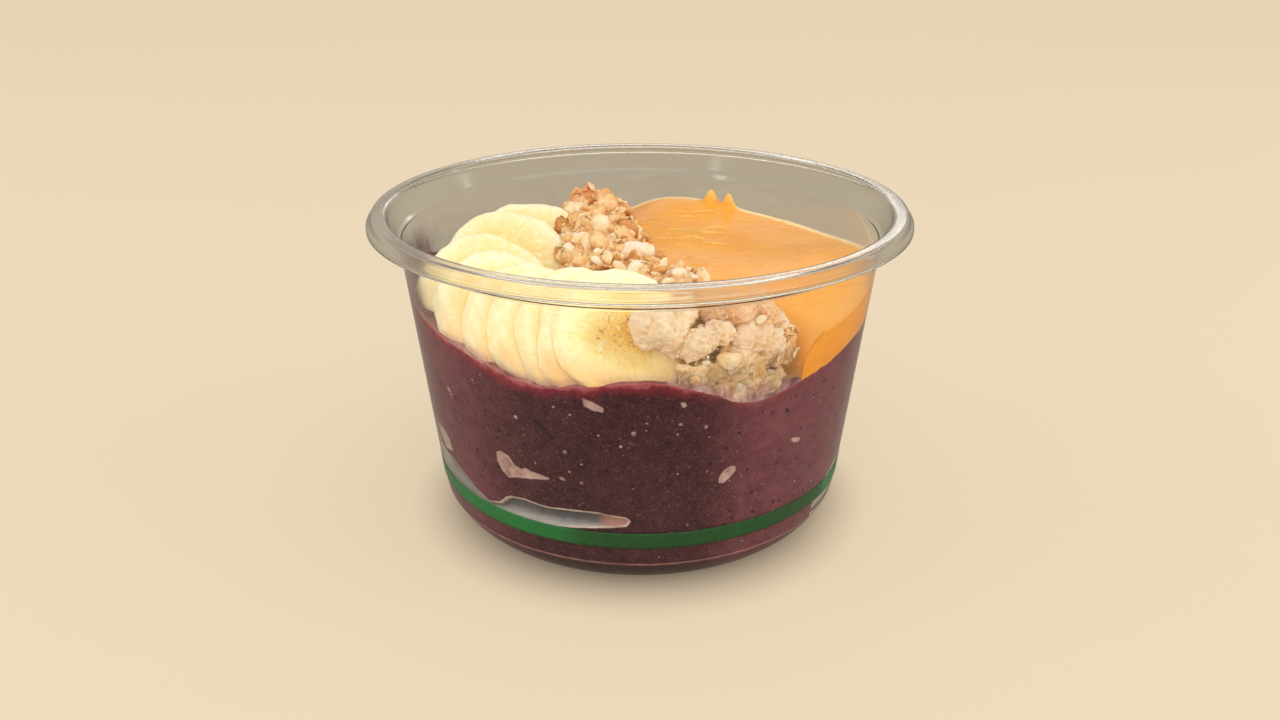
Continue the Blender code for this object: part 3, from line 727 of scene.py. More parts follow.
def oats(name):
    """Baked oats: 'tone' runs from dark toast (0) over tan (0.5) to pale cream (1); 'red' adds
    reddish toast, 'milk' a smooth pale skin and 'painted_low_shade' a painted grey shade on crumbs low at the wall."""
    m = Mat(name)
    p = m.coords()
    tone = m.attr("tone")
    red = m.attr("red")
    milk = m.attr("milk")
    painted_low_shade = m.attr("painted_low_shade")
    mid = m.noise(p, 560.0, 4.0, 0.62)
    fine = m.noise(p, 2400.0, 4.0, 0.65)
    t = m.math("ADD", tone, m.math("MULTIPLY", m.math("SUBTRACT", mid, 0.5), 0.6))
    t = m.math("ADD", t, m.math("MULTIPLY", m.math("SUBTRACT", fine, 0.5), 0.35))
    col = m.ramp(t, [(0.0, srgb(120, 66, 26)), (0.2, srgb(176, 110, 50)), (0.4, srgb(218, 158, 92)), (0.58, srgb(239, 190, 128)), (0.78, srgb(248, 214, 162)), (1.0, srgb(253, 234, 202))])
    warm = m.mix(m.span(fine, 0.3, 0.7), srgb(210, 112, 52), srgb(242, 162, 98))
    col = m.mix(m.math("MULTIPLY", red, m.span(mid, 0.25, 0.6, 0.5, 1.0)), col, warm)
    flour = m.cells(p, 1700.0)
    col = m.mix(m.span(flour, 0.3, 0.1, 0.0, 0.3), col, srgb(255, 240, 210))
    husk = m.cells(m.scaled(p, 1.0, 0.6, 1.0), 760.0)
    col = m.mix(m.math("MULTIPLY", m.span(husk, 0.13, 0.07), m.span(milk, 0.7, 0.2)), col, srgb(150, 92, 44))
    skin = m.mix(m.span(mid, 0.3, 0.7), srgb(240, 204, 164), srgb(254, 234, 210))
    col = m.mix(m.math("MULTIPLY", milk, m.span(mid, 0.2, 0.5, 0.7, 0.95)), col, skin)
    # painted shade: darker brown in the hollows between grains
    col = m.mix(m.span(m.attr("hollow"), 0.42, 0.95, 0.0, 0.72), col, m.mix(milk, srgb(146, 88, 42), srgb(198, 142, 98)))
    # painted shade: grey on crumbs low against the wall
    low_shade_colour = m.mix(m.span(mid, 0.35, 0.68), srgb(98, 74, 62), srgb(194, 158, 126))
    col = m.mix(m.math("MULTIPLY", painted_low_shade, m.span(fine, 0.2, 0.6, 0.6, 0.95)), col, low_shade_colour)
    h = m.math("ADD", m.math("MULTIPLY", mid, 0.6), m.math("MULTIPLY", fine, 0.5))
    b = m.principled(Base_Color=col, Roughness=m.span(mid, 0.3, 0.7, 0.6, 0.85), Specular_IOR_Level=0.3, Normal=m.bump(h, 0.0004, 0.8))
    b.inputs["Subsurface Weight"].default_value = 0.15
    b.inputs["Subsurface Radius"].default_value = (1.0, 0.6, 0.3)
    b.inputs["Subsurface Scale"].default_value = 0.001
    return m.done(b.outputs[0])


def froth():
    m = Mat("froth")
    p = m.coords()
    n = m.noise(p, 1500.0, 3.0)
    col = m.mix(m.span(n, 0.3, 0.7), srgb(128, 90, 96), srgb(178, 146, 148))
    b = m.principled(Base_Color=col, Roughness=m.span(n, 0.3, 0.7, 0.3, 0.5), Alpha=m.span(n, 0.1, 0.5, 0.6, 0.95))
    return m.done(b.outputs[0])


PLASTIC, INK, ACAI = clear_plastic(), stripe_ink(), acai_flesh()
BANANA, SPREAD, OATS, FROTH = banana_flesh(), nut_spread(), oats("oats_look"), froth()
PIECES = []


def piece(ob, slot, *nodes):
    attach(ob, "root")
    if nodes:
        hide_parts(*nodes)
    PIECES.append(ob)
    return ob


# ------------------------------------------------------------------------ bowl
def ridge(line):
    """A faint moulded bead round the heel's outside."""
    out = []
    for r, z in line:
        k = math.exp(-((z - BEAD_Z) / 0.4) ** 2) if r > 40 else 0.0
        out.append((r + 0.3 * k, z))
    return out


V, F = turned(INSIDE + ridge(OUTSIDE)[::-1])
piece(add_object("bowl_shell", make_mesh("bowl_shell", V, F), PLASTIC), "clear_plastic", "bowl")

band = [(wall_radius(z) + 0.012, z) for z in np.linspace(*STRIPE_Z, 7)]
band = band + [(r + 0.05, z) for r, z in band[::-1]]
V, F = turned(band, 200, closed=True)
turn = np.degrees(np.arctan2(V[:, 0], -V[:, 1]))
# where air lies behind the stripe; the ink is painted brighter there as painted light
painted_backlight_mask = np.maximum(smooth((-13.0 - turn) / 9.0) * smooth((turn + 84.0) / 9.0), smooth((turn - 57.0) / 3.5) * smooth((86.0 - turn) / 6.0))
piece(add_object("green_stripe", make_mesh("green_stripe", V, F, {"open": painted_backlight_mask}), INK), "clear_plastic")

# ------------------------------------------------------------------------ acai
ACAI_LEVEL, ACAI_MIDDLE = 50.0, 51.0
ACAI_WAVES = ((-88.0, 7.0, 24.0), (-24.0, -2.6, 9.0), (26.0, -5.8, 9.0), (45.0, -3.0, 10.0))
ACAI_SAG = (5.5, -72.0, 60.0, 24.0)


def wave(angle):
    z = np.full(np.shape(angle), ACAI_LEVEL, float)
    for at, height, width in ACAI_WAVES:
        d = (np.asarray(angle) - at + 180.0) % 360.0 - 180.0
        z = z + height * np.exp(-0.5 * (d / width) ** 2)
    return z


def puree_level(x, y):
    r = np.hypot(x, y)
    angle = np.degrees(np.arctan2(x, -y))
    t = smooth((r / 50.0 - 0.35) / 0.6)
    depth, first, last, run = ACAI_SAG
    sag = depth * smooth((angle - first) / run) * smooth((last - angle) / run)
    sag = sag * smooth((49.5 - r) / 9.0) * smooth((r - 8.0) / 20.0)
    return ACAI_MIDDLE + (wave(angle) - ACAI_MIDDLE) * t - sag


def around(angle, r, z):
    a, r, z = np.broadcast_arrays(np.radians(angle), r, z)
    return np.stack([r * np.sin(a), -r * np.cos(a), z], -1)


def edge_line(angle):
    """The puree's upper edge on the wall: the broad waves and a fine, uneven lip."""
    a = np.radians(angle)
    ring = np.stack([np.sin(a) * 50, np.cos(a) * 50, np.zeros_like(a)], -1)
    return wave(angle) + 0.55 * fbm(ring, 6.0, 3, 5) + 0.16 * fbm(ring, 1.6, 2, 9)


# Outlines on the wall as (angle, height): trapped air, frothy patches, dark skins
POCKETS = (
    ((-76, 27.0), (-70.2, 25.3), (-67.9, 21.6), (-63, 20.9), (-59, 20.8), (-56.3, 20.4), (-51.6, 18.8), (-46.6, 17.0), (-42.6, 15.9), (-38.6, 16.9), (-36, 18.9), (-34.3, 19.6), (-30.2, 20.0), (-23.3, 19.5), (-15.7, 20.0), (-9.7, 19.9), (-3.3, 19.2), (-2.2, 18.2), (-3.4, 16.8), (-9, 16.2), (-15, 15.6), (-21.4, 14.9), (-29.6, 14.2), (-37.6, 13.8), (-44.5, 13.2), (-53.6, 12.6), (-68, 12.5), (-78, 14.5)),
    ((60.8, 15.4), (56.8, 14.3), (54.7, 11.6), (55.0, 7.9), (57, 4.6), (64, 3.4), (74, 4.4), (82, 8.5), (84, 14), (76, 16.6), (67, 17.2)),
)
PATCHES = (
    ((-68.0, 26.6), (-62.0, 27.0), (-58.5, 25.8), (-58.0, 22.8), (-62.9, 21.9), (-65.6, 24.1)),
    ((-37.2, 29.6), (-35.6, 30.2), (-33.2, 29.4), (-31.7, 27.6), (-29.9, 27.2), (-28.7, 27.9), (-27.0, 27.3), (-21.9, 26.8), (-22.5, 26.2), (-27.0, 25.5), (-31.2, 24.9), (-34.1, 24.1), (-36.1, 25.3), (-37.3, 27.4)),
    ((-19.6, 27.6), (-17.9, 27.0), (-18.2, 26.6), (-19.4, 26.9)),
    ((18.9, 25.9), (19.1, 27.4), (20.3, 29.0), (22.1, 29.8), (23.4, 29.3), (23.3, 28.3), (21.8, 26.8), (20.2, 25.7)),
    ((38.9, 31.9), (40.1, 32.3), (42.3, 31.5), (42.3, 30.5), (40.5, 30.7)),
    ((-12.8, 46.2), (-10.4, 45.6), (-8.0, 44.4), (-7.8, 43.5), (-10.4, 43.8), (-12.4, 44.7)),
    ((8.7, 45.6), (9.8, 45.6), (10.3, 44.7), (9.2, 44.2)),
)
SKINS = (
    ((-25.2, 40.0), (-24.0, 39.8), (-21.4, 38.0), (-19.4, 36.2), (-20.6, 36.0), (-22.8, 37.8), (-24.9, 39.2)),
    ((35.4, 18.2), (36.9, 18.2), (36.6, 17.1), (35.6, 17.2)),
    ((52.3, 25.6), (53.6, 25.5), (53.2, 24.8)),
    ((31.2, 40.5), (32.4, 40.4), (32.3, 39.5), (31.4, 39.6)),
    ((6.1, 9.7), (7.3, 9.5), (7.1, 8.8), (6.2, 8.9)),
    ((29.8, 20.0), (31.0, 19.6), (30.6, 19.0)),
)


def depth_in(angle, z, outlines):
    """How far inside the outlines a wall point is, in mm; negative outside."""
    s = np.radians(angle) * 47.0
    best = np.full(len(z), -9.0)
    for outline in outlines:
        o = np.array([(math.radians(a) * 47.0, h) for a, h in outline])
        near = (s > o[:, 0].min() - 2) & (s < o[:, 0].max() + 2) & (z > o[:, 1].min() - 2) & (z < o[:, 1].max() + 2)
        S, Z = s[near], z[near]
        odd = np.zeros(len(S), bool)
        d = np.full(len(S), 9.0)
        for (x0, y0), (x1, y1) in zip(o, np.roll(o, -1, axis=0)):
            dx, dy = x1 - x0, y1 - y0
            t = np.clip(((S - x0) * dx + (Z - y0) * dy) / max(dx * dx + dy * dy, 1e-9), 0, 1)
            d = np.minimum(d, np.hypot(S - x0 - t * dx, Z - y0 - t * dy))
            if dy:
                odd ^= ((y0 > Z) != (y1 > Z)) & (S < (x1 - x0) * (Z - y0) / dy + x0)
        best[near] = np.maximum(best[near], np.where(odd, d, -d))
    return best


def build_acai():
    # columns lie closer where the wall shows detail
    angle = np.r_[np.linspace(-86, 76, 400, endpoint=False), np.linspace(76, 274, 100, endpoint=False)]
    angle = (angle + 180.0) % 360.0 - 180.0
    n = len(angle)
    under = [p for p in beside(MIDDLE, THICK / 2 - 0.1) if p[1] < 12.6]
    low = np.array(under[1:])
    low_rows = [around(angle, np.full(n, r), np.full(n, z)) for r, z in low]
    top = edge_line(angle)
    z_low = low[-1, 1]
    rows = list(low_rows)
    side_from = len(rows)
    for k in range(1, 125):
        z = z_low + (top - 0.25 - z_low) * k / 124
        rows.append(around(angle, wall_in(z, 0.1), z))
    # rounded lip, then the frothy upper face
    rows.append(around(angle, wall_in(top, -0.05), top - 0.07))
    side_to = len(rows)
    for f in np.concatenate([[0.994], 1 - np.linspace(0.014, 0.12, 9), np.linspace(0.86, 0.06, 17)]):
        r = wall_in(top) * f
        base = around(angle, r, np.zeros(n))
        level = puree_level(base[:, 0], base[:, 1])
        blend = smooth((f - 0.8) / 0.2)
        level = level * (1 - blend) + (top + (level - wave(angle)) * 1.0) * blend
        level = level + 0.45 * fbm(base, 5.0, 4, 21) * (1 - blend)
        rows.append(around(angle, r, level))
    R = np.stack(rows)
    flat = R.reshape(-1, 3)
    ang = np.tile(angle, len(rows))
    row = np.repeat(np.arange(len(rows)), n)
    on_side = (row >= 4) & (row < side_to)
    wob = 0.35 * fbm(flat, 3.0, 3, 77)
    where = (ang + wob, flat[:, 2] + 0.7 * wob)
    pocket = np.where(on_side, depth_in(*where, POCKETS), -9.0)
    patch = np.where(on_side, depth_in(*where, PATCHES), -9.0)
    skin = np.where(on_side, depth_in(*where, SKINS), -9.0)
    lip = np.array([p for p in POCKETS[0][:18]])
    pocket_top = np.where(ang < 20, np.interp(ang, lip[:, 0], lip[:, 1]), 16.0)
    up = np.clip((flat[:, 2] - 14.6) / np.maximum(pocket_top - 14.6, 1.0), 0, 1)
    up = np.where(ang > 20, 0.15 + 0.6 * np.exp(-(((ang - 57.5) / 2.0) ** 2 + ((flat[:, 2] - 10.5) / 2.2) ** 2)), up)
    end = np.where(ang < 20, smooth((ang + 12.0) / 5.0), 0.35)
    # trapped air and thin patches stand back from the wall
    r = np.hypot(flat[:, 0], flat[:, 1])
    back = 0.12 * smooth(patch / 0.5) + 1.1 * smooth(pocket / 1.6)
    flat[:, 0] *= (r - back) / np.maximum(r, 1e-6)
    flat[:, 1] *= (r - back) / np.maximum(r, 1e-6)
    below = np.tile(top, len(rows)) - flat[:, 2]
    below = np.where(row >= side_to, 0.6 + 8.0 * (1 - np.hypot(flat[:, 0], flat[:, 1]) / 51.0), below)
    below = below + 1.3 * fbm(flat, 3.0, 3, 31) + 0.5 * fbm(flat, 0.9, 2, 32)
    V = np.vstack([flat, [[0, 0, under[0][1]]], [[0, 0, float(puree_level(0, 0))]]])
    i = np.arange(n)
    last = (len(rows) - 1) * n
    faces = [grid_faces(len(rows), n), np.stack([np.full(n, len(flat)), (i + 1) % n, i], -1), np.stack([np.full(n, len(flat) + 1), last + i, last + (i + 1) % n], -1)]
    # painted light: where the blend is painted paler towards the left and right sides
    painted_side_light = np.maximum(smooth((ang - 13.0 + 5.0 * wob) / 15.0), smooth((-20.0 - ang + 5.0 * wob) / 36.0))
    redder = 0.25 + 0.75 * smooth((16.0 - ang) / 10.0) * smooth((ang + 75.0) / 15.0)
    values = {"redder": redder, "painted_side_light": painted_side_light, "edge": below, "pocket": pocket, "pocket_up": up, "pocket_end": end, "patch": patch, "skin": skin}
    return make_mesh("acai_blend", V, faces, {key: np.r_[v, v[-1], v[-1]] for key, v in values.items()})


piece(add_object("acai_blend", build_acai(), ACAI), "acai_puree", "acai")


SPECKS = (  # the larger bubbles: angle, height, radius
    (-53.1, 39.6, 0.62), (-52.2, 38.7, 0.3), (-29.6, 39.5, 0.5), (-19.5, 43.6, 0.3), (-17.6, 33.7, 0.42), (-25.6, 29.7, 0.3), (-16.8, 29.1, 0.24),
    (-1.4, 39.0, 0.5), (-4.4, 36.0, 0.36), (-9.4, 38.3, 0.3), (-13.7, 31.2, 0.28), (-14.0, 26.8, 0.42), (-38.9, 46.8, 0.24), (-41.9, 45.0, 0.26),
    (1.5, 41.3, 0.24), (9.1, 40.8, 0.45), (8.4, 38.6, 0.26), (14.9, 39.7, 0.4), (15.8, 37.3, 0.2), (15.8, 29.3, 0.22), (8.8, 29.4, 0.26), (25.0, 26.8, 0.2),
    (51.1, 18.0, 0.32), (43.2, 20.6, 0.24), (36.4, 18.6, 0.24), (36.3, 15.6, 0.2), (27.6, 9.9, 0.26), (45.1, 40.1, 0.26), (48.3, 38.5, 0.2), (65.8, 23.9, 0.3), (4.9, 9.1, 0.24), (11.8, 16.8, 0.2),
)


def build_froth():
    """Small flat bubbles and pale specks between the blend and the wall."""
    r = np.random.RandomState(8)
    ball = bmesh.new()
    bmesh.ops.create_icosphere(ball, subdivisions=2, radius=1.0)
    ball.verts.ensure_lookup_table()
    unit = np.array([v.co for v in ball.verts])
    tri = np.array([[v.index for v in f.verts] for f in ball.faces])
    ball.free()
    V, F, count = [], [], 0
    for k in range(len(SPECKS) + 240):
        if k < len(SPECKS):
            a, z, size = SPECKS[k]
        else:
            a, z = r.uniform(-180, 180), r.uniform(4.5, 49)
            if z > float(wave(np.array([a]))[0]) - 1.5:
                continue
            size = min(0.05 + 0.05 * r.exponential(), 0.32)
        P = unit * np.array([1.0, 0.22, r.uniform(0.75, 1.5)]) * size
        P = P * (1 + 0.25 * fbm(unit * 2 + k, 1.0, 2, 3)[:, None])
        tilt = r.uniform(-0.9, 0.9)
        c, s = math.cos(tilt), math.sin(tilt)
        P = np.stack([P[:, 0] * c - P[:, 2] * s, P[:, 1], P[:, 0] * s + P[:, 2] * c], -1)
        rad = math.radians(a)
        c, s = math.cos(rad), math.sin(rad)
        P = np.stack([P[:, 0] * c - P[:, 1] * s, P[:, 0] * s + P[:, 1] * c, P[:, 2]], -1)
        P += around(np.array([a]), wall_in(np.array([z]), 0.08), np.array([z]))
        V.append(P)
        F.append(tri + count)
        count += len(P)
    return make_mesh("acai_froth", np.vstack(V), np.vstack(F))


piece(add_object("acai_froth", build_froth(), FROTH), "acai_puree")

# --------------------------------------------------------------- banana slices
SLICE_THICK = 5.2
SLICES = (
    ("banana_1", (-25.4, 14.4, 55.4), 6.0, 62.0, 14.2),
    ("banana_2", (-30.2, 2.2, 56.0), 16.0, 57.0, 14.2),
    ("banana_3", (-32.6, -13.2, 54.4), 26.0, 46.0, 14.0),
    ("banana_4", (-28.8, -22.0, 52.8), 40.0, 42.0, 14.0),
    ("banana_5", (-22.8, -27.0, 51.6), 44.0, 35.0, 14.0),
    ("banana_6", (-17.4, -31.2, 51.8), 43.0, 29.0, 13.8),
    ("banana_7", (-12.0, -34.2, 52.4), 38.0, 28.0, 13.8),
    ("banana_8", (-7.2, -37.2, 53.7), 28.0, 32.0, 13.5),
    ("banana_9", (-3.6, -40.6, 55.6), 16.0, 38.0, 13.2),
)


def slice_turn(centre, facing, lift):
    m = Matrix.Translation(Vector(centre)) @ Matrix.Rotation(math.radians(facing), 4, "Z") @ Matrix.Rotation(math.radians(90.0 - lift), 4, "X")
    return np.array(m)


def slice_shape(seed, radius, grow=0.0):
    """(V, faces) of one fine slice in its own frame, its faces across z."""
    n = 112
    h, r0 = SLICE_THICK / 2, 1.45
    a = np.arange(n) * math.tau / n
    prof = [(t * (radius - r0), h) for t in (0.05, 0.1, 0.16, 0.22, 0.29, 0.36, 0.44, 0.52, 0.6, 0.68, 0.76, 0.84, 0.92)]
    prof += [(radius - r0 + r0 * math.sin(t), h - r0 + r0 * math.cos(t)) for t in np.radians(np.linspace(0, 90, 9))]
    prof += [(radius, z) for z in (0.8, 0.3, 0.0, -0.3, -0.8)]
    prof += [(r, -z) for r, z in prof[:22][::-1]]
    P = np.array(prof)
    s = 1.0 + 0.020 * np.cos(5 * a + seed * 1.7) + 0.026 * np.cos(2 * a + seed * 2.3) + 0.016 * np.cos(3 * a + seed) + 0.010 * np.cos(8 * a + seed * 3.1) + 0.006 * np.cos(13 * a + seed * 0.7)
    V = np.stack([P[:, 0, None] * np.cos(a) * s, P[:, 0, None] * np.sin(a) * s, np.repeat(P[:, 1, None], n, 1)], -1).reshape(-1, 3)
    V = np.vstack([V, [[0, 0, h]], [[0, 0, -h]]])
    rad = np.hypot(V[:, 0], V[:, 1]) / radius
    ang = np.arctan2(V[:, 1], V[:, 0])
    up = np.sign(V[:, 2])
    V[:, 2] += 0.25 * np.sin(2 * ang + seed) * rad
    # softly crowned faces with a slack three-sided heart, and a worn surface
    key = V + seed * 31.0
    V[:, 2] += up * (0.16 * (1 - rad**2) - 0.20 * np.exp(-((rad - 0.16 - 0.05 * np.cos(3 * ang + seed * 2.1)) / 0.11) ** 2)) * (rad < 0.99)
    V[:, 2] += up * (0.26 * fbm(key, 5.0, 3, 41) + 0.10 * fbm(key, 1.3, 2, 42))
    out = 0.34 * fbm(key, 3.6, 3, 43) + 0.10 * fbm(key * (1, 1, 0.25), 0.9, 2, 44)
    side = smooth((rad - 0.7) / 0.3)
    V[:, 0] *= 1 + out * side / radius
    V[:, 1] *= 1 + out * side / radius
    if grow:
        V = V * (1 + grow / np.array([radius, radius, h]))
    i = np.arange(n)
    rows = len(P)
    faces = [grid_faces(rows, n), np.stack([np.full(n, rows * n), (i + 1) % n, i], -1), np.stack([np.full(n, rows * n + 1), (rows - 1) * n + i, (rows - 1) * n + (i + 1) % n], -1)]
    return V, faces


def placed(V, M):
    return V @ M[:3, :3].T + M[:3, 3]


ROOM_V, ROOM_F = turned([(0.0, 1.8)] + [(float(r) + 0.03, z) for r, z in beside(WALL_ONLY, THICK / 2) if z > 1.9 and r > 20] + [(0.0, 90.0)], 240)
ROOM = make_mesh("room", ROOM_V, ROOM_F)

TURNS = [slice_turn(c, f, l) for _, c, f, l, _ in SLICES]
blanks, rooms = [], []
for k, (name, c, f, l, radius) in enumerate(SLICES):
    V, F = slice_shape(k + 1.0, radius)
    blanks.append(make_mesh(name, placed(V, TURNS[k]), F))
    V, F = slice_shape(k + 1.0, radius, 0.04)
    rooms.append(make_mesh(name, placed(V, TURNS[k]), F))
for k, (name, c, f, l, radius) in enumerate(SLICES):
    me = boolean(blanks[k], [ROOM], "INTERSECT")
    me = boolean(me, rooms[k + 1 : k + 4])
    me = main_body(me)
    P = points_of(me)
    q = (P - TURNS[k][:3, 3]) @ TURNS[k][:3, :3]
    q[:, :2] /= radius
    q[:, 2] /= SLICE_THICK / 2
    put_attr(me, "local", q)
    put_attr(me, "seed", np.full(len(P), k + 1.0))
    gap = wall_in(P[:, 2]) - np.hypot(P[:, 0], P[:, 1])
    put_attr(me, "wall", smooth(1 - np.clip(gap, 0, 4) / 2.6))
    put_attr(me, "ripe", np.full(len(P), {8: 1.0, 7: 0.45}.get(k, 0.0)))
    # the creases where a slice meets the next at the wall, which carry painted shade and a painted glow
    crease = smooth((np.abs(q[:, 2]) - 0.35) / 0.6) * smooth(1 - np.clip(gap, 0, 4) / 3.4) * (np.hypot(q[:, 0], q[:, 1]) > 0.5)
    put_attr(me, "crease", crease if k < 8 else 0.25 * crease)
    put_attr(me, "amber", {8: 0.95, 7: 0.55}.get(k, 0.3) * smooth((55.5 - P[:, 2] + 1.5 * fbm(P, 5.0, 2, 47)) / 9.0))
    me.shade_smooth()
    me.set_sharp_from_angle(angle=math.radians(50))
    piece(add_object(name + "_slice", me, BANANA), "banana_flesh", name)

# --------------------------------------------------------------- peanut butter
SPREAD_EDGE = ((-5.5, 50.0), (-4.0, 36.0), (-1.0, 22.0), (1.5, 8.0), (4.5, -4.0), (12.0, -10.5), (19.5, -19.5), (26.0, -27.5), (30.4, -34.5), (33.2, -42.5))
SPREAD_MID = (25.0, 10.0)
SPREAD_TOP = 57.0
SPREAD_PEAKS = ((18.4, 45.4, 1.9, 3.1), (22.9, 43.6, 1.7, 3.1))


def curve_through(points, per):
    out = []
    ext = [points[0], *points, points[-1]]
    for i in range(1, len(ext) - 2):
        p0, p1, p2, p3 = (np.array(p, float) for p in ext[i - 1 : i + 3])
        for k in range(per):
            t = k / per
            out.append(0.5 * ((2 * p1) + (p2 - p0) * t + (2 * p0 - 5 * p1 + 4 * p2 - p3) * t * t + (3 * p1 - p0 - 3 * p2 + p3) * t**3))
    out.append(np.array(points[-1], float))
    return np.array(out)


EDGE = curve_through(SPREAD_EDGE, 14)


def from_edge(P):
    best = np.full(len(P), 1e9)
    for a, b in zip(EDGE[:-1], EDGE[1:]):
        d = b - a
        t = np.clip(((P - a) @ d) / (d @ d), 0, 1)
        best = np.minimum(best, np.linalg.norm(P - a - t[:, None] * d, axis=1))
    return best


def hill(x, y, cx, cy, s):
    return np.exp(-((x - cx) ** 2 + (y - cy) ** 2) / (2 * s * s))


def spread_level(x, y):
    return SPREAD_TOP + 1.8 * hill(x, y, 10, 47, 9) - 2.6 * hill(x, y, -6, 49, 5.5) + 3.0 * hill(x, y, 50, -4, 12) + 1.2 * hill(x, y, 49, -17, 6) - 0.12 * np.maximum(0.0, -y - 18.0) - 0.6 * hill(x, y, 38, 28, 10)


def spoon_strokes():
    r = np.random.RandomState(12)
    out = []
    for k in range(80):
        x, y = 10.5 + 7.5 * r.normal(), 24.0 + 8.5 * r.normal()
        out.append((x, y, r.uniform(1.2, 5.0), math.radians(-6 + 13 * r.normal()), 0.8 * r.normal(), r.uniform(0.3, 1.0)))
    for k in range(14):
        out.append((r.uniform(4, 40), r.uniform(-6, 40), r.uniform(1.5, 4.0), math.radians(12 * r.normal()), 0.5 * r.normal(), r.uniform(0.2, 0.5)))
    return out


STROKES = spoon_strokes()


def stroke_marks(x, y):
    """Short, thin, bowed ridges where the spoon let go, mostly along x."""
    out = np.zeros(np.shape(x))
    for cx, cy, half, lean, bow, strong in STROKES:
        near = (np.abs(x - cx) < half + 1) & (np.abs(y - cy) < half + 1)
        if not near.any():
            continue
        dx, dy = x[near] - cx, y[near] - cy
        u = (dx * math.cos(lean) + dy * math.sin(lean)) / half
        w = -dx * math.sin(lean) + dy * math.cos(lean) - bow * u * u
        t = strong * np.exp(-((w / 0.22) ** 2)) * smooth((1 - np.abs(u)) / 0.6)
        out[near] = np.maximum(out[near], t)
    return out


def spread_ripples(x, y):
    """(height, crest) of the soft strokes left by the spoon, mostly along x."""
    p = np.stack([x, y, np.zeros_like(x)], -1)
    bend = y + 1.6 * np.sin(x / 13.0) + 0.10 * x
    streak = fbm(np.stack([x * 0.16, bend, np.zeros_like(x)], -1), 1.9, 3, 61)
    soft = fbm(p, 14.0, 2, 62)
    fade = np.clip(0.55 + 0.9 * fbm(p, 18.0, 2, 63), 0.08, 1.0)
    # thin raised folds where the spoon let go
    warp = 2.4 * fbm(p, 9.0, 2, 64)
    fold = 1 - np.abs(fbm(np.stack([x * 0.13, bend + warp, np.zeros_like(x) + 5], -1), 2.6, 2, 65)) * 5.5
    patch = np.clip(0.35 + 1.5 * fbm(p, 11.0, 2, 67) + 0.55 * hill(x, y, 10, 26, 12), 0, 1)
    fold = np.clip(fold, 0, 1) ** 1.5 * patch * np.clip(fbm(np.stack([x * 0.5, y * 1.6, np.zeros_like(x)], -1), 4.0, 2, 68) * 2 + 0.75, 0, 1)
    marks = stroke_marks(x, y)
    return 0.30 * soft + 0.07 * streak * fade + 0.10 * fold + 0.42 * marks, np.maximum(0.3 * fold, marks)


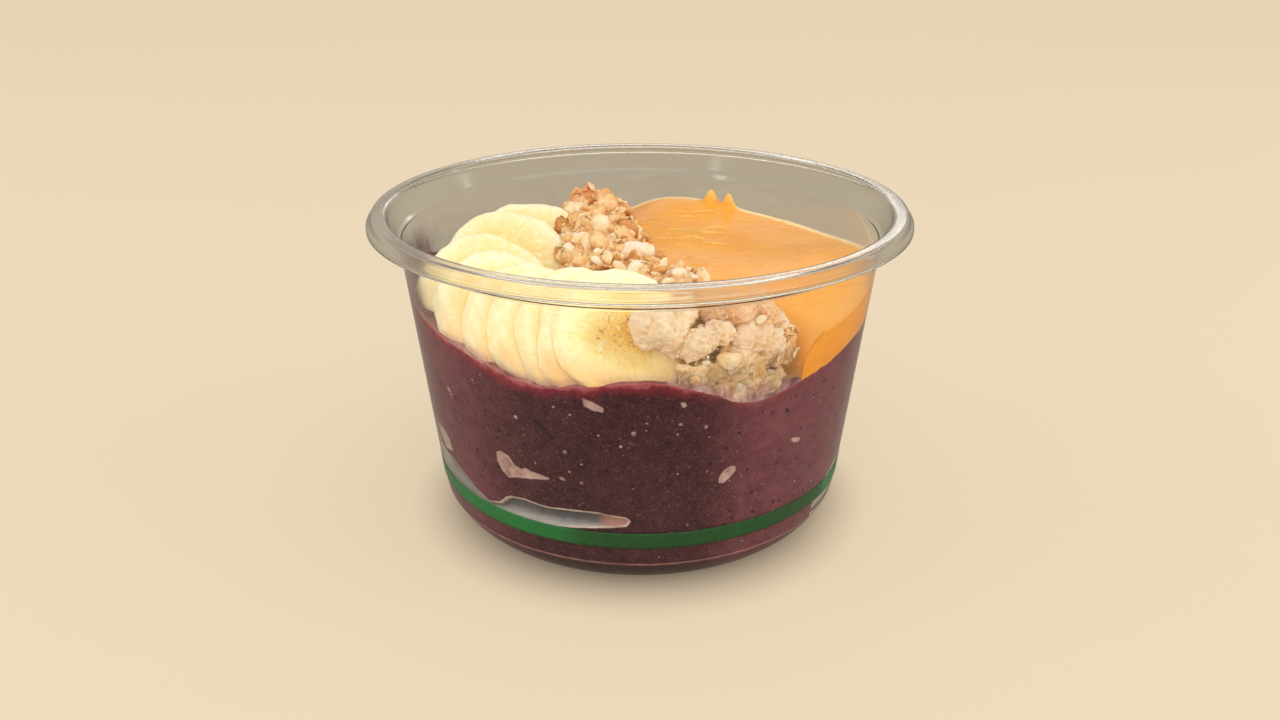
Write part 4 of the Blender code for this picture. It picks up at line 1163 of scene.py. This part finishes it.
def build_spread():
    # outline: along the free edge from the back wall to the tip, then back round the wall
    at_wall = float(wall_in(57.0, 0.06))
    inner = EDGE[np.hypot(EDGE[:, 0], EDGE[:, 1]) < at_wall - 0.4]
    a_tip = math.degrees(math.atan2(inner[-1, 0], -inner[-1, 1])) + 0.3
    a_back = math.degrees(math.atan2(inner[0, 0], -inner[0, 1])) % 360 - 0.3
    arc = around(np.linspace(a_tip, a_back, 230), at_wall, 0.0)[:, :2]
    length = np.r_[0, np.cumsum(np.linalg.norm(np.diff(inner, axis=0), axis=1))]
    t = np.linspace(0, length[-1], 176)
    inner = np.stack([np.interp(t, length, inner[:, 0]), np.interp(t, length, inner[:, 1])], -1)
    # the free edge isn't a clean curve
    wob = 0.8 * fbm(np.c_[inner, np.zeros(len(inner))], 7.0, 3, 66) * smooth(np.minimum(t, t[-1] - t) / 6.0)
    d = np.gradient(inner, axis=0)
    nrm = np.stack([-d[:, 1], d[:, 0]], -1) / np.linalg.norm(d, axis=1)[:, None]
    inner = inner + nrm * wob[:, None]
    outline = np.vstack([inner, arc])
    on_wall = np.r_[np.zeros(len(inner), bool), np.ones(len(arc), bool)]
    mid = np.array(SPREAD_MID)
    n = len(outline)

    def low_at(q):
        return puree_level(q[:, 0], q[:, 1]) - 0.8

    def top_at(q):
        low = low_at(q)
        e = np.clip((from_edge(q) + 0.15) / (3.4 + 3.2 * smooth((-q[:, 1] - 16.0) / 18.0)), 0, 1)
        full = spread_level(q[:, 0], q[:, 1]) - low
        side = np.minimum(1.6, full * 0.4)
        z = low + side + (full - side) * np.sqrt(1 - (1 - e) ** 2)
        ripple, fold = spread_ripples(q[:, 0], q[:, 1])
        z = z + ripple * smooth(e)
        tip = np.zeros(len(q))
        for x, y, foot, high in SPREAD_PEAKS:
            # a pulled-up peak: broad foot, thin rounded tip
            dd = np.hypot(q[:, 0] - x, (q[:, 1] - y) * 0.9) / foot
            z = z + high * np.exp(-((dd / 0.82) ** 2.5)) + 0.6 * np.exp(-((dd / 1.6) ** 2))
            tip = np.maximum(tip, smooth(1.15 - dd))
        return z, fold * smooth(e), tip

    rows, flags = [], []
    for f in (0.25, 0.55, 0.8, 0.93, 1.0):
        q = mid + (outline - mid) * f
        rows.append(np.c_[q, low_at(q)])
    edge_low, edge_top = low_at(outline), top_at(outline)[0]
    marks = [np.zeros((n, 2)) for _ in range(5 + 11)]
    for k in range(1, 12):
        rows.append(np.c_[outline, edge_low + (edge_top - edge_low) * k / 12])
    walls = len(rows)
    f = 1 - np.linspace(0, 1, 122)[:-1] ** 1.55 * 0.985
    for v in f:
        q = mid + (outline - mid) * v
        z, fold, tip = top_at(q)
        rows.append(np.c_[q, z])
        marks.append(np.c_[fold, tip])
    R = np.stack(rows)
    # against the wall it follows the wall, just inside it
    for k in range(4, walls + 1):
        z = R[k, on_wall, 2]
        rr = wall_in(z, 0.06) / np.hypot(R[k, on_wall, 0], R[k, on_wall, 1])
        R[k, on_wall, 0] *= rr
        R[k, on_wall, 1] *= rr
    flat = R.reshape(-1, 3)
    r = np.hypot(flat[:, 0], flat[:, 1])
    lim = wall_in(flat[:, 2], 0.06)
    over = r > lim
    flat[over, :2] *= (lim[over] / r[over])[:, None]
    mx, my = SPREAD_MID
    V = np.vstack([flat, [[mx, my, float(low_at(mid[None])[0])]], [[mx, my, float(top_at(mid[None])[0][0])]]])
    marks = np.vstack(marks + [[[0, 0], [0, 0]]])
    i = np.arange(n)
    last = (len(rows) - 1) * n
    faces = [grid_faces(len(rows), n), np.stack([np.full(n, len(flat)), (i + 1) % n, i], -1), np.stack([np.full(n, len(flat) + 1), last + i, last + (i + 1) % n], -1)]
    gap = wall_in(V[:, 2]) - np.hypot(V[:, 0], V[:, 1])
    below = spread_level(V[:, 0], V[:, 1]) - V[:, 2]
    wall = smooth(1 - gap / 0.6) * smooth((below + 0.4) / 1.2)
    rim = smooth(1 - gap / 2.8) * (V[:, 1] > -8) * smooth((V[:, 1] + 8) / 20) * smooth(1 - (below - 0.3) / 2.0)
    return make_mesh("peanut_butter_spread", V, faces, {"wall": wall, "rim": rim, "crest_glint": marks[:, 0], "tip": marks[:, 1]})


piece(add_object("peanut_butter_spread", build_spread(), SPREAD), "peanut_spread", "peanut_butter")


# --------------------------------------------------------------------- granola
def inside_slices(P, margin=0.0):
    hit = np.zeros(len(P), bool)
    for (name, c, f, l, radius), M in zip(SLICES, TURNS):
        q = (P - M[:3, 3]) @ M[:3, :3]
        hit |= (np.hypot(q[:, 0], q[:, 1]) < radius - margin) & (np.abs(q[:, 2]) < SLICE_THICK / 2 - margin)
    return hit


def inside_spread(P, margin=0.0):
    """Points under the spread's surface and on its side of the free edge."""
    poly = np.vstack([EDGE, [(47, -60), (80, -18), (80, 20), (50, 60), (10, 80), (-5.5, 70)]])
    x, y = P[:, 0], P[:, 1]
    odd = np.zeros(len(P), bool)
    for (x0, y0), (x1, y1) in zip(poly, np.roll(poly, -1, axis=0)):
        cross = (y0 > y) != (y1 > y)
        with np.errstate(divide="ignore", invalid="ignore"):
            xs = (x1 - x0) * (y - y0) / (y1 - y0) + x0
        odd ^= cross & (x < xs)
    e = from_edge(P[:, :2])
    return odd & (e > margin) & (P[:, 2] < spread_level(x, y) - margin)


def to_wall(P, into=0.02):
    """Points past the wall's inner face are pressed back to it."""
    r = np.hypot(P[:, 0], P[:, 1])
    lim = wall_in(P[:, 2], into)
    over = r > lim
    P = P.copy()
    P[over, :2] *= (lim[over] / r[over])[:, None]
    return P


def ico(subdivisions):
    b = bmesh.new()
    bmesh.ops.create_icosphere(b, subdivisions=subdivisions, radius=1.0)
    b.verts.ensure_lookup_table()
    unit = np.array([v.co for v in b.verts])
    tri = np.array([[v.index for v in f.verts] for f in b.faces])
    b.free()
    return unit, tri


ICO1, ICO2, ICO3, ICO4 = ico(1), ico(2), ico(3), ico(4)


def crumb_shape(unit, seed):
    P = unit * (1 + 0.45 * fbm(unit + seed * 7.1, 1.1, 2, 3)[:, None] + 0.2 * fbm(unit + seed * 3.3, 0.45, 2, 4)[:, None])
    return P * np.array([1.0, 0.8, 0.68])


def chunk_shape(unit, seed):
    """A baked clump: knobbly, hollowed, and flat where it broke off."""
    k = seed * 9.7
    small = crumbly(unit + k, 0.30, int(seed) + 90)
    P = unit * (1 + 0.44 * fbm(unit + k, 0.9, 3, 11) + 0.22 * fbm(unit + k, 0.4, 3, 12, ridged=True) + 0.17 * small + 0.06 * fbm(unit + k, 0.14, 2, 13))[:, None]
    r = np.random.RandomState(int(seed * 10) + 5)
    for _ in range(4):
        d = r.normal(size=3)
        d /= np.linalg.norm(d)
        P = P - np.clip(P @ d - 0.7, 0, None)[:, None] * d * 0.6
    return P * np.array([1.2, 0.84, 0.62])


def flake_shape(unit, seed):
    """A rolled oat: a thin oval with a crease, a curl and a ragged rim."""
    a = np.arctan2(unit[:, 1], unit[:, 0])
    rim = 1 + 0.10 * np.sin(3 * a + seed) + 0.07 * np.sin(7 * a + seed * 2.2)
    P = unit * np.array([1.0, 0.72, 0.15])
    P[:, :2] *= rim[:, None]
    P[:, 2] += 0.16 * P[:, 0] ** 2 * math.sin(seed * 1.7) + 0.22 * P[:, 1] ** 2 * math.cos(seed) - 0.07 * np.exp(-((P[:, 1] / 0.12) ** 2)) * np.sign(unit[:, 2])
    return P * (1 + 0.12 * fbm(unit + seed * 5.7, 0.8, 2, 6)[:, None])


CRUMBS1 = [crumb_shape(ICO1[0], k + 1.0) for k in range(14)]
CRUMBS2 = [crumb_shape(ICO2[0], k + 21.0) for k in range(14)]
CRUMBS3 = [crumb_shape(ICO3[0], k + 51.0) for k in range(8)]
FLAKES = [flake_shape(ICO2[0], k * 1.31 + 0.4) for k in range(12)]
CHUNKS3 = [chunk_shape(ICO3[0], k + 1.0) for k in range(10)]
CHUNKS4 = [chunk_shape(ICO4[0], k + 31.0) for k in range(8)]


def frames_on(normals, r):
    """Random right-handed frames whose z is near the given normals."""
    n = normals + r.normal(size=normals.shape) * 0.35
    n /= np.linalg.norm(n, axis=1)[:, None]
    t = r.normal(size=n.shape)
    t -= (t * n).sum(1)[:, None] * n
    t /= np.linalg.norm(t, axis=1)[:, None]
    return np.stack([t, np.cross(n, t), n], -1)


def surface_samples(V, T, count, r):
    a, b, c = V[T[:, 0]], V[T[:, 1]], V[T[:, 2]]
    cr = np.cross(b - a, c - a)
    area = np.linalg.norm(cr, axis=1)
    pick = r.choice(len(T), count, p=area / area.sum())
    u, v = r.rand(count), r.rand(count)
    flip = u + v > 1
    u[flip], v[flip] = 1 - u[flip], 1 - v[flip]
    P = a[pick] + u[:, None] * (b - a)[pick] + v[:, None] * (c - a)[pick]
    return P, cr[pick] / np.maximum(area[pick], 1e-9)[:, None]


class Scatter:
    """Joins many placed copies into one mesh, with a tone for each."""

    def __init__(self):
        self.V, self.F, self.tone, self.red, self.count = [], [], [], [], 0

    def add(self, shape, tri, frame, size, at, tone, red):
        P = (shape * size) @ frame.T + at
        self.V.append(P)
        self.F.append(tri + self.count)
        self.tone.append(np.full(len(P), tone) + 0.20 * shape[:, 2] / max(1e-6, np.abs(shape[:, 2]).max()))
        self.red.append(np.full(len(P), red))
        self.count += len(P)

    def mesh(self, name):
        return make_mesh(name, to_wall(np.vstack(self.V)), np.vstack(self.F), {"tone": np.concatenate(self.tone), "red": np.concatenate(self.red)})


def tone_at(P):
    """Toasting varies over the granola."""
    return 0.57 + 0.22 * fbm(P, 7.0, 2, 81)


def red_at(P):
    peak = np.exp(-(np.linalg.norm((P - np.array([-14.5, 37.5, 61.5])) / (5.5, 7, 5), axis=1) ** 2))
    return 0.9 * peak + 0.25 * np.clip(fbm(P, 6.0, 2, 83), 0, 1)


def painted_low_shade_at(P):
    """Painted shade: crumbs that lie low against the wall are painted grey."""
    gap = wall_in(P[:, 2]) - np.hypot(P[:, 0], P[:, 1])
    patchy = np.clip(0.62 + 0.9 * fbm(P, 5.0, 3, 85), 0, 1)
    return smooth(1 - gap / 7.0) * smooth((56.0 - P[:, 2]) / 8.0) * patchy


def finish_oats(me, tone, red, milk=0.0):
    V = points_of(me)
    put_attr(me, "tone", tone)
    put_attr(me, "red", red)
    put_attr(me, "milk", np.broadcast_to(milk, len(V)))
    put_attr(me, "painted_low_shade", painted_low_shade_at(V))
    me.shade_smooth()
    return me


def allowed(P):
    ok = ~inside_slices(P, 0.5) & ~inside_spread(P, 0.6) & (P[:, 2] > puree_level(P[:, 0], P[:, 1]) - 1.5)
    return ok | ((wall_in(P[:, 2]) - np.hypot(P[:, 0], P[:, 1]) < 3.0) & ~inside_slices(P, 0.3) & ~inside_spread(P, 0.3))


def spaced(P, N, gap):
    """Keeps points that lie at least gap apart, in the order given."""
    keep = []
    for k in range(len(P)):
        if not keep or (np.linalg.norm(P[keep] - P[k], axis=1) > gap).all():
            keep.append(k)
    return P[keep], N[keep]


def scatter_on(name, me, seed, levels, bits, flakes, tone_shift=0.0, red=None, spread_tone=0.16):
    """Loose pieces over a core. levels: (spacing, smallest, largest, fine) of the clumps, largest first."""
    r = np.random.RandomState(seed)
    V, T = points_of(me), triangles_of(me)
    s = Scatter()
    for spacing, small, large, fine in levels:
        P, N = surface_samples(V, T, 2600, r)
        ok = allowed(P) & (N[:, 2] > -0.25)
        P, N = spaced(P[ok], N[ok], spacing)
        frames = frames_on(N, r)
        tone, reds = tone_at(P) + tone_shift, red_at(P) if red is None else np.full(len(P), red)
        for k in range(len(P)):
            size = r.uniform(small, large)
            lib, tri = (CHUNKS4, ICO4[1]) if fine else (CHUNKS3, ICO3[1])
            kind = r.rand()
            shade = r.normal() * spread_tone * 0.6 + (0.26 if kind < 0.24 else -0.24 if kind > 0.78 else 0.0)
            s.add(lib[r.randint(len(lib))], tri, frames[k], size * r.uniform(0.85, 1.15, 3), P[k] + N[k] * size * 0.12, tone[k] + shade, reds[k] * r.uniform(0.5, 1.2))
    for kind, count in (("bit", bits), ("flake", flakes)):
        P, N = surface_samples(V, T, count, r)
        ok = allowed(P)
        P, N = P[ok], N[ok]
        frames = frames_on(N, r)
        tone, reds = tone_at(P) + tone_shift, red_at(P) if red is None else np.full(len(P), red)
        for k in range(len(P)):
            dt = r.normal() * spread_tone
            if kind == "bit":
                size = min(0.2 + 0.15 * r.exponential(), 0.8)
                lib, tri = (CRUMBS1, ICO1[1]) if size < 0.5 else (CRUMBS2, ICO2[1])
                s.add(lib[r.randint(len(lib))], tri, frames[k], size * r.uniform(0.85, 1.15, 3), P[k] + N[k] * (size * 0.2 + r.uniform(0, 1.0)), tone[k] + dt, reds[k])
            else:
                size = r.uniform(1.2, 2.3)
                s.add(FLAKES[r.randint(len(FLAKES))], ICO2[1], frames[k], size * r.uniform(0.9, 1.1, 3), P[k] + N[k] * r.uniform(0.0, 1.1), tone[k] + 0.08 + dt, reds[k] * 0.6)
    out = s.mesh(name)
    put_attr(out, "painted_low_shade", painted_low_shade_at(points_of(out)))
    return out


def relief(me, amount, seed, sink, soft=1.0):
    V, N = points_of(me), normals_of(me)
    # softly baked lumps keep broad swellings; crisp ones break into grains and flakes
    crisp = max(0.0, 1.6 - soft)
    n = amount * (0.95 * fbm(V, 3.8 * soft, 3, seed) + 0.5 * fbm(V, 1.7 * soft, 2, seed + 1, ridged=True))
    n = n + amount * crisp * (0.7 * crumbly(V * (1, 1, 1.5), 2.0, seed + 3) + 0.5 * crumbly(V * (1.3, 1, 1), 0.95, seed + 4)) + 0.10 * fbm(V, 0.5, 2, seed + 5)
    set_points(me, to_wall(V + N * (n - sink)[:, None]))
    put_attr(me, "hollow", smooth((0.35 - n / max(amount, 0.1)) / 1.3))
    return me


# the heaps: a core in the node's own outline, painted dark in its hollows as shade, and the real clumps over it
for node, seed, levels, bits, flakes in (
    ("granola_heap_back", 301, ((5.1, 1.7, 2.6, True), (2.8, 0.9, 1.6, False)), 1050, 120),
    ("granola_heap_front", 401, ((5.0, 1.4, 2.2, True), (3.2, 0.8, 1.4, False)), 220, 14),
):
    core = relief(remeshed(frame["nodes"][node].data.copy(), 0.42, 4), 1.25, seed, 0.35, 0.95)
    V = points_of(core)
    lump = cells(V + 1.5 * np.stack([fbm(V, 3.0, 2, seed + j) for j in (1, 2, 3)], -1), 4.2, seed + 20)[0]
    back = "back" in node
    hollow = np.empty(len(V), np.float32)
    core.attributes["hollow"].data.foreach_get("value", hollow)
    # painted shade: the core's tone is lowered in its hollows
    finish_oats(core, (0.62 if back else 0.72) + 0.34 * (lump - 0.5) + 0.12 * fbm(V, 1.2, 2, seed + 9) - (0.56 if back else 0.5) * hollow, red_at(V) * 0.6)
    piece(add_object(node + "_core", core, OATS), "granola_crumb", node)
    loose = scatter_on(node + "_grains", core, seed + 7, levels, bits, flakes, 0.02 if back else 0.16)
    piece(add_object(node + "_grains", loose, OATS), "granola_crumb")


def clump(name, blobs, seed, amount, tone, red=0.0, milk=0.0, soft=1.0, voxel=0.32):
    """Swellings (centre, radii, turn) grown into one skin, with a crumbly relief."""
    V, F, count = [], [], 0
    for centre, radii, turn in blobs:
        c, s = math.cos(math.radians(turn)), math.sin(math.radians(turn))
        P = ICO3[0] * np.array(radii, float)
        P = P @ np.array([[c, -s, 0], [s, c, 0], [0, 0, 1]]).T + np.array(centre, float)
        V.append(P)
        F.append(ICO3[1] + count)
        count += len(P)
    me = remeshed(make_mesh(name, np.vstack(V), np.vstack(F)), voxel, 5)
    relief(me, amount, seed, 0.1, soft)
    V = points_of(me)
    hollow = np.empty(len(V), np.float32)
    me.attributes["hollow"].data.foreach_get("value", hollow)
    # painted shade: the tone is lowered in the hollows
    t = tone + 0.06 + 0.16 * fbm(V, 3.5, 3, seed + 9) + 0.12 * fbm(V, 1.0, 2, seed + 10) - 0.5 * hollow
    rd = np.clip(red + 0.35 * fbm(V, 3.0, 2, seed + 11), 0, 1) if red else 0.35 * np.clip(fbm(V, 4.0, 2, seed + 12), 0, 1)
    mk = np.clip((milk + (0.5 * fbm(V, 4.5, 2, seed + 13) if milk else 0.0)) * (1 - 0.55 * hollow), 0, 1)
    return finish_oats(me, t, rd, mk)


LUMPS = (  # node, swellings, relief, tone, red, milk, softness, clumps on it, bits
    ("granola_cluster_1", (((2.6, -46.0, 60.4), (4.2, 3.6, 4.3), 0), ((5.8, -44.6, 58.2), (3.6, 3.2, 4.2), 20), ((7.6, -42.6, 61.2), (2.8, 2.6, 3.0), 0), ((1.6, -45.4, 57.6), (2.8, 2.6, 2.4), 0), ((6.6, -44.4, 54.8), (2.2, 2.2, 2.0), 0)), 0.85, 0.88, 0.12, 0.75, 1.1, (), 40),
    ("granola_cluster_2", (((11.2, -45.2, 56.2), (3.7, 2.6, 2.6), 10), ((14.8, -43.6, 57.6), (3.2, 2.6, 2.4), 25), ((9.4, -45.6, 54.8), (2.2, 2.0, 1.9), 0)), 0.85, 0.92, 0.24, 0.6, 1.1, (), 40),
    ("granola_cluster_3", (((18.6, -38.6, 60.2), (3.6, 3.2, 3.0), 0), ((22.8, -36.4, 60.8), (3.0, 2.8, 2.9), 30), ((15.4, -38.0, 59.4), (3.4, 3.0, 2.9), 0), ((24.8, -37.2, 58.4), (2.4, 2.6, 2.4), 0), ((12.6, -38.4, 61.2), (2.2, 2.2, 2.2), 0)), 1.05, 0.76, 0.5, 0.2, 1.15, (), 60),
    ("granola_cluster_4", (((21.6, -40.2, 55.6), (4.6, 3.4, 3.6), 30), ((24.4, -38.4, 52.6), (4.2, 3.6, 4.6), 30), ((19.2, -42.2, 51.4), (3.6, 3.0, 3.6), 15), ((25.8, -36.2, 56.6), (2.6, 2.6, 2.6), 0)), 1.2, 0.88, 0.3, 0.25, 1.2, (), 50),
    ("granola_cluster_5", (((27.9, -37.0, 51.4), (2.4, 2.4, 3.3), 40), ((28.6, -36.4, 53.6), (1.8, 1.8, 2.0), 0)), 0.7, 0.5, 0.0, 0.0, 1.0, (), 40),
    ("granola_cluster_6", (((-12.9, 38.4, 57.6), (4.6, 4.2, 4.4), 0), ((-13.0, 38.6, 60.4), (2.7, 2.7, 3.0), 0), ((-13.2, 38.6, 62.4), (1.3, 1.3, 1.7), 0), ((-9.4, 38.4, 59.8), (2.2, 2.4, 2.4), 0), ((-16.0, 37.4, 57.6), (2.5, 2.6, 2.6), 0)), 0.75, 0.5, 0.75, 0.0, 0.8, ((2.8, 0.6, 1.1, False),), 90),
    ("granola_cluster_7", (((-1.5, -5.0, 60.8), (3.6, 2.9, 2.6), -15), ((1.1, -5.6, 61.4), (2.3, 2.2, 2.1), 0), ((-3.5, -4.4, 60.0), (2.0, 2.2, 1.9), 0)), 0.5, 1.0, 0.0, 0.95, 1.3, (), 8),
)
for k, (node, blobs, amount, tone, red, milk, soft, levels, bits) in enumerate(LUMPS):
    me = clump(node + "_crust", blobs, 500 + 13 * k, amount, tone, red, milk, soft)
    piece(add_object(node + "_crust", me, OATS), "granola_crumb", node)
    few = scatter_on(node + "_bits", me, 700 + k, levels, bits, 0 if milk > 0.5 else 8, tone - 0.55, red=red * 0.9 if red else 0.0)
    piece(add_object(node + "_bits", few, OATS), "granola_crumb")


# -------------------------------------------------------- smears on the wall
def wall_film(name, lo, hi, low_of, high_of, thin_of, mat, slot, cols=160, rows=26):
    """A film on the wall's inner face between two lines, closed, 0.05 mm thick."""
    a = np.linspace(lo, hi, cols)
    t = np.linspace(0, 1, rows)[:, None]
    z = low_of(a)[None] * (1 - t) + high_of(a)[None] * t
    outer = around(a[None] + 0 * z, wall_in(z.ravel(), 0.03).reshape(z.shape), z)
    inner = around(a[None] + 0 * z, wall_in(z.ravel(), -0.02).reshape(z.shape), z)
    V = np.vstack([outer.reshape(-1, 3), inner.reshape(-1, 3)])
    F1 = grid_faces(rows, cols, wrap=False)
    F2 = F1[:, ::-1] + rows * cols
    idx = np.arange(rows * cols).reshape(rows, cols)
    loop = np.r_[idx[0, :-1], idx[:-1, -1], idx[-1, :0:-1], idx[:0:-1, 0]]
    nxt = np.roll(loop, -1)
    F3 = np.stack([loop, loop + rows * cols, nxt + rows * cols, nxt], -1)
    thin = thin_of(a[None] + 0 * z, t + 0 * z).ravel()
    me = make_mesh(name, V, np.vstack([F1, F2, F3]), {"thin": np.r_[thin, thin]})
    return piece(add_object(name, me, mat), slot)


def noise_line(a, scale, seed, amount):
    r = np.radians(a)
    return amount * fbm(np.stack([np.sin(r) * 50, np.cos(r) * 50, np.zeros_like(r)], -1), scale, 3, seed)


PINK = film("acai_film", (srgb(186, 122, 124), srgb(230, 192, 184)), 0.95)
MAUVE = film("acai_smear", (srgb(94, 54, 64), srgb(148, 106, 112)), 0.88)
wall_film("acai_halo", -64, 78, lambda a: edge_line(a) - 0.35, lambda a: edge_line(a) + 2.4 + 2.4 * np.exp(-(((a - 30) / 12.0) ** 2)) + 0.8 * np.exp(-(((a + 36) / 12.0) ** 2)) + noise_line(a, 6.0, 91, 1.3),
          lambda a, t: smooth((1 - t) / 0.9) * smooth(t / 0.05) * np.clip(0.55 + 0.8 * noise_line(a.ravel(), 9.0, 92, 1.0).reshape(a.shape), 0.1, 1), PINK, "acai_puree", 330, 12)
wall_film("acai_left_smear", -112, -56, lambda a: edge_line(a) - 0.35, lambda a: edge_line(a) + 8.6 + noise_line(a, 8.0, 93, 2.5),
          lambda a, t: smooth((1 - t) / 0.8) * smooth((a + 112) / 14) * smooth((-56 - a) / 10) * 0.9, MAUVE, "acai_puree", 180, 26)

# ------------------------------------------------------------- stage and light
def stage_material():
    m = Mat("stage")
    p = m.coords()
    n = m.noise(p, 3.0, 2.0)
    pale = m.mix(m.span(n, 0.3, 0.7, 0.0, 0.06), srgb(236, 217, 187), srgb(228, 208, 178))
    path = m.node("ShaderNodeLightPath")
    # in reflections the ground is dark, and seen through the clear plastic it is a little greyer
    at = m.node("ShaderNodeSeparateXYZ")
    m.link(at.inputs[0], p)
    front = m.math("MULTIPLY", m.span(at.outputs[1], -0.06, -0.13), m.span(m.math("ABSOLUTE", at.outputs[0]), 0.12, 0.05))
    mirrored = m.mix(front, srgb(160, 150, 134), srgb(84, 79, 72))
    col = m.mix(path.outputs["Is Glossy Ray"], pale, mirrored)
    col = m.mix(path.outputs["Is Transmission Ray"], col, srgb(178, 167, 147))
    # a little glow of its own keeps the bowl's shadow soft; near the bowl's foot the glow is darker, a painted contact
    # shadow
    flat = m.node("ShaderNodeCombineXYZ")
    m.link(flat.inputs[0], at.outputs[0])
    m.link(flat.inputs[1], at.outputs[1])
    away = m.node("ShaderNodeVectorMath", {"operation": "LENGTH"})
    m.link(away.inputs[0], flat.outputs[0])
    glow = m.mix(m.span(away.outputs["Value"], 0.036, 0.056), srgb(118, 106, 90), col)
    b = m.principled(Base_Color=m.mix(0.36, srgb(0, 0, 0), col), Emission_Color=glow)
    b.inputs["Emission Strength"].default_value = 0.63
    b.inputs["Roughness"].default_value = 0.95
    b.inputs["Specular IOR Level"].default_value = 0.0
    return m.done(b.outputs[0])


me = bpy.data.meshes.new("floor")
bm = bmesh.new()
bmesh.ops.create_grid(bm, x_segments=4, y_segments=4, size=4.0)
bm.to_mesh(me)
bm.free()
floor = add_object("floor", me, stage_material())

world = bpy.data.worlds.new("studio")
bpy.context.scene.world = world
world.use_nodes = True
wt = world.node_tree
back = wt.nodes["Background"]
path = wt.nodes.new("ShaderNodeLightPath")
wm = wt.nodes.new("ShaderNodeMix")
wm.data_type = "RGBA"
wt.links.new(path.outputs["Is Glossy Ray"], wm.inputs[0])
wm.inputs[6].default_value = (1.0, 0.985, 0.955, 1.0)
wm.inputs[7].default_value = (0.72, 0.68, 0.60, 1.0)
wm2 = wt.nodes.new("ShaderNodeMix")
wm2.data_type = "RGBA"
wt.links.new(path.outputs["Is Transmission Ray"], wm2.inputs[0])
wt.links.new(wm.outputs[2], wm2.inputs[6])
wm2.inputs[7].default_value = (0.69, 0.645, 0.575, 1.0)
wt.links.new(wm2.outputs[2], back.inputs["Color"])
back.inputs["Strength"].default_value = 0.72


def lamp(name, kind, energy, colour, loc, aim, size=None, angle=None, size_y=None):
    data = bpy.data.lights.new(name, kind)
    data.energy, data.color = energy, colour
    if size:
        data.size = size
        if size_y:
            data.shape, data.size_y = "RECTANGLE", size_y
    if angle:
        data.angle = math.radians(angle)
    ob = bpy.data.objects.new(name, data)
    bpy.context.scene.collection.objects.link(ob)
    ob.location = loc
    ob.rotation_euler = (Vector(aim) - Vector(loc)).to_track_quat("-Z", "Y").to_euler()
    return ob


def only_reflected(ob):
    """A lamp that shows in glossy surfaces and doesn't light matt ones."""
    ob.visible_diffuse = False
    return ob


def not_reflected(ob):
    """A lamp that lights matt surfaces and leaves no outline in glossy ones."""
    ob.visible_glossy = False
    ob.visible_transmission = False
    return ob


lamp("key", "SUN", 0.42, (1.0, 0.98, 0.95), (0.35, -0.4, 1.3), (0, 0, 0.03), angle=60)
not_reflected(lamp("side_left", "AREA", 1.7, (1.0, 0.985, 0.96), (-0.8, -0.12, 0.3), (0, 0, 0.03), size=0.5))
not_reflected(lamp("side_right", "AREA", 2.1, (1.0, 0.985, 0.96), (0.8, -0.12, 0.3), (0, 0, 0.03), size=0.5))
not_reflected(lamp("front", "AREA", 2.9, (1.0, 0.98, 0.95), (0.0, -0.85, 0.5), (0, 0, 0.04), size=0.7))
only_reflected(lamp("strip_left", "AREA", 0.13, (0.93, 0.92, 1.0), (-0.466, -0.466, 0.52), (0, 0, 0.068), size=0.04, size_y=0.36))
only_reflected(lamp("strip_right", "AREA", 0.15, (0.93, 0.92, 1.0), (0.724, 0.174, 0.36), (0, 0, 0.068), size=0.05, size_y=0.4))
only_reflected(lamp("window", "AREA", 0.11, (0.93, 0.92, 1.0), (-0.52, -0.541, 0.06), (0, 0, 0.066), size=0.09, size_y=0.11))
only_reflected(lamp("back", "AREA", 0.28, (1.0, 0.98, 0.94), (0.1, 0.9, 0.36), (0, 0, 0.06), size=0.5, size_y=0.07))

cam = bpy.data.cameras.new("camera")
cam.sensor_width = 36.0
cam.lens = 32.74
cam.clip_start = 0.01
view = bpy.data.objects.new("camera", cam)
bpy.context.scene.collection.objects.link(view)
view.location = (0.0, -0.248536, 0.138897)
view.rotation_euler = (math.radians(67.0), 0.0, 0.0)
bpy.context.scene.camera = view
bpy.context.scene.view_settings.view_transform = "Standard"
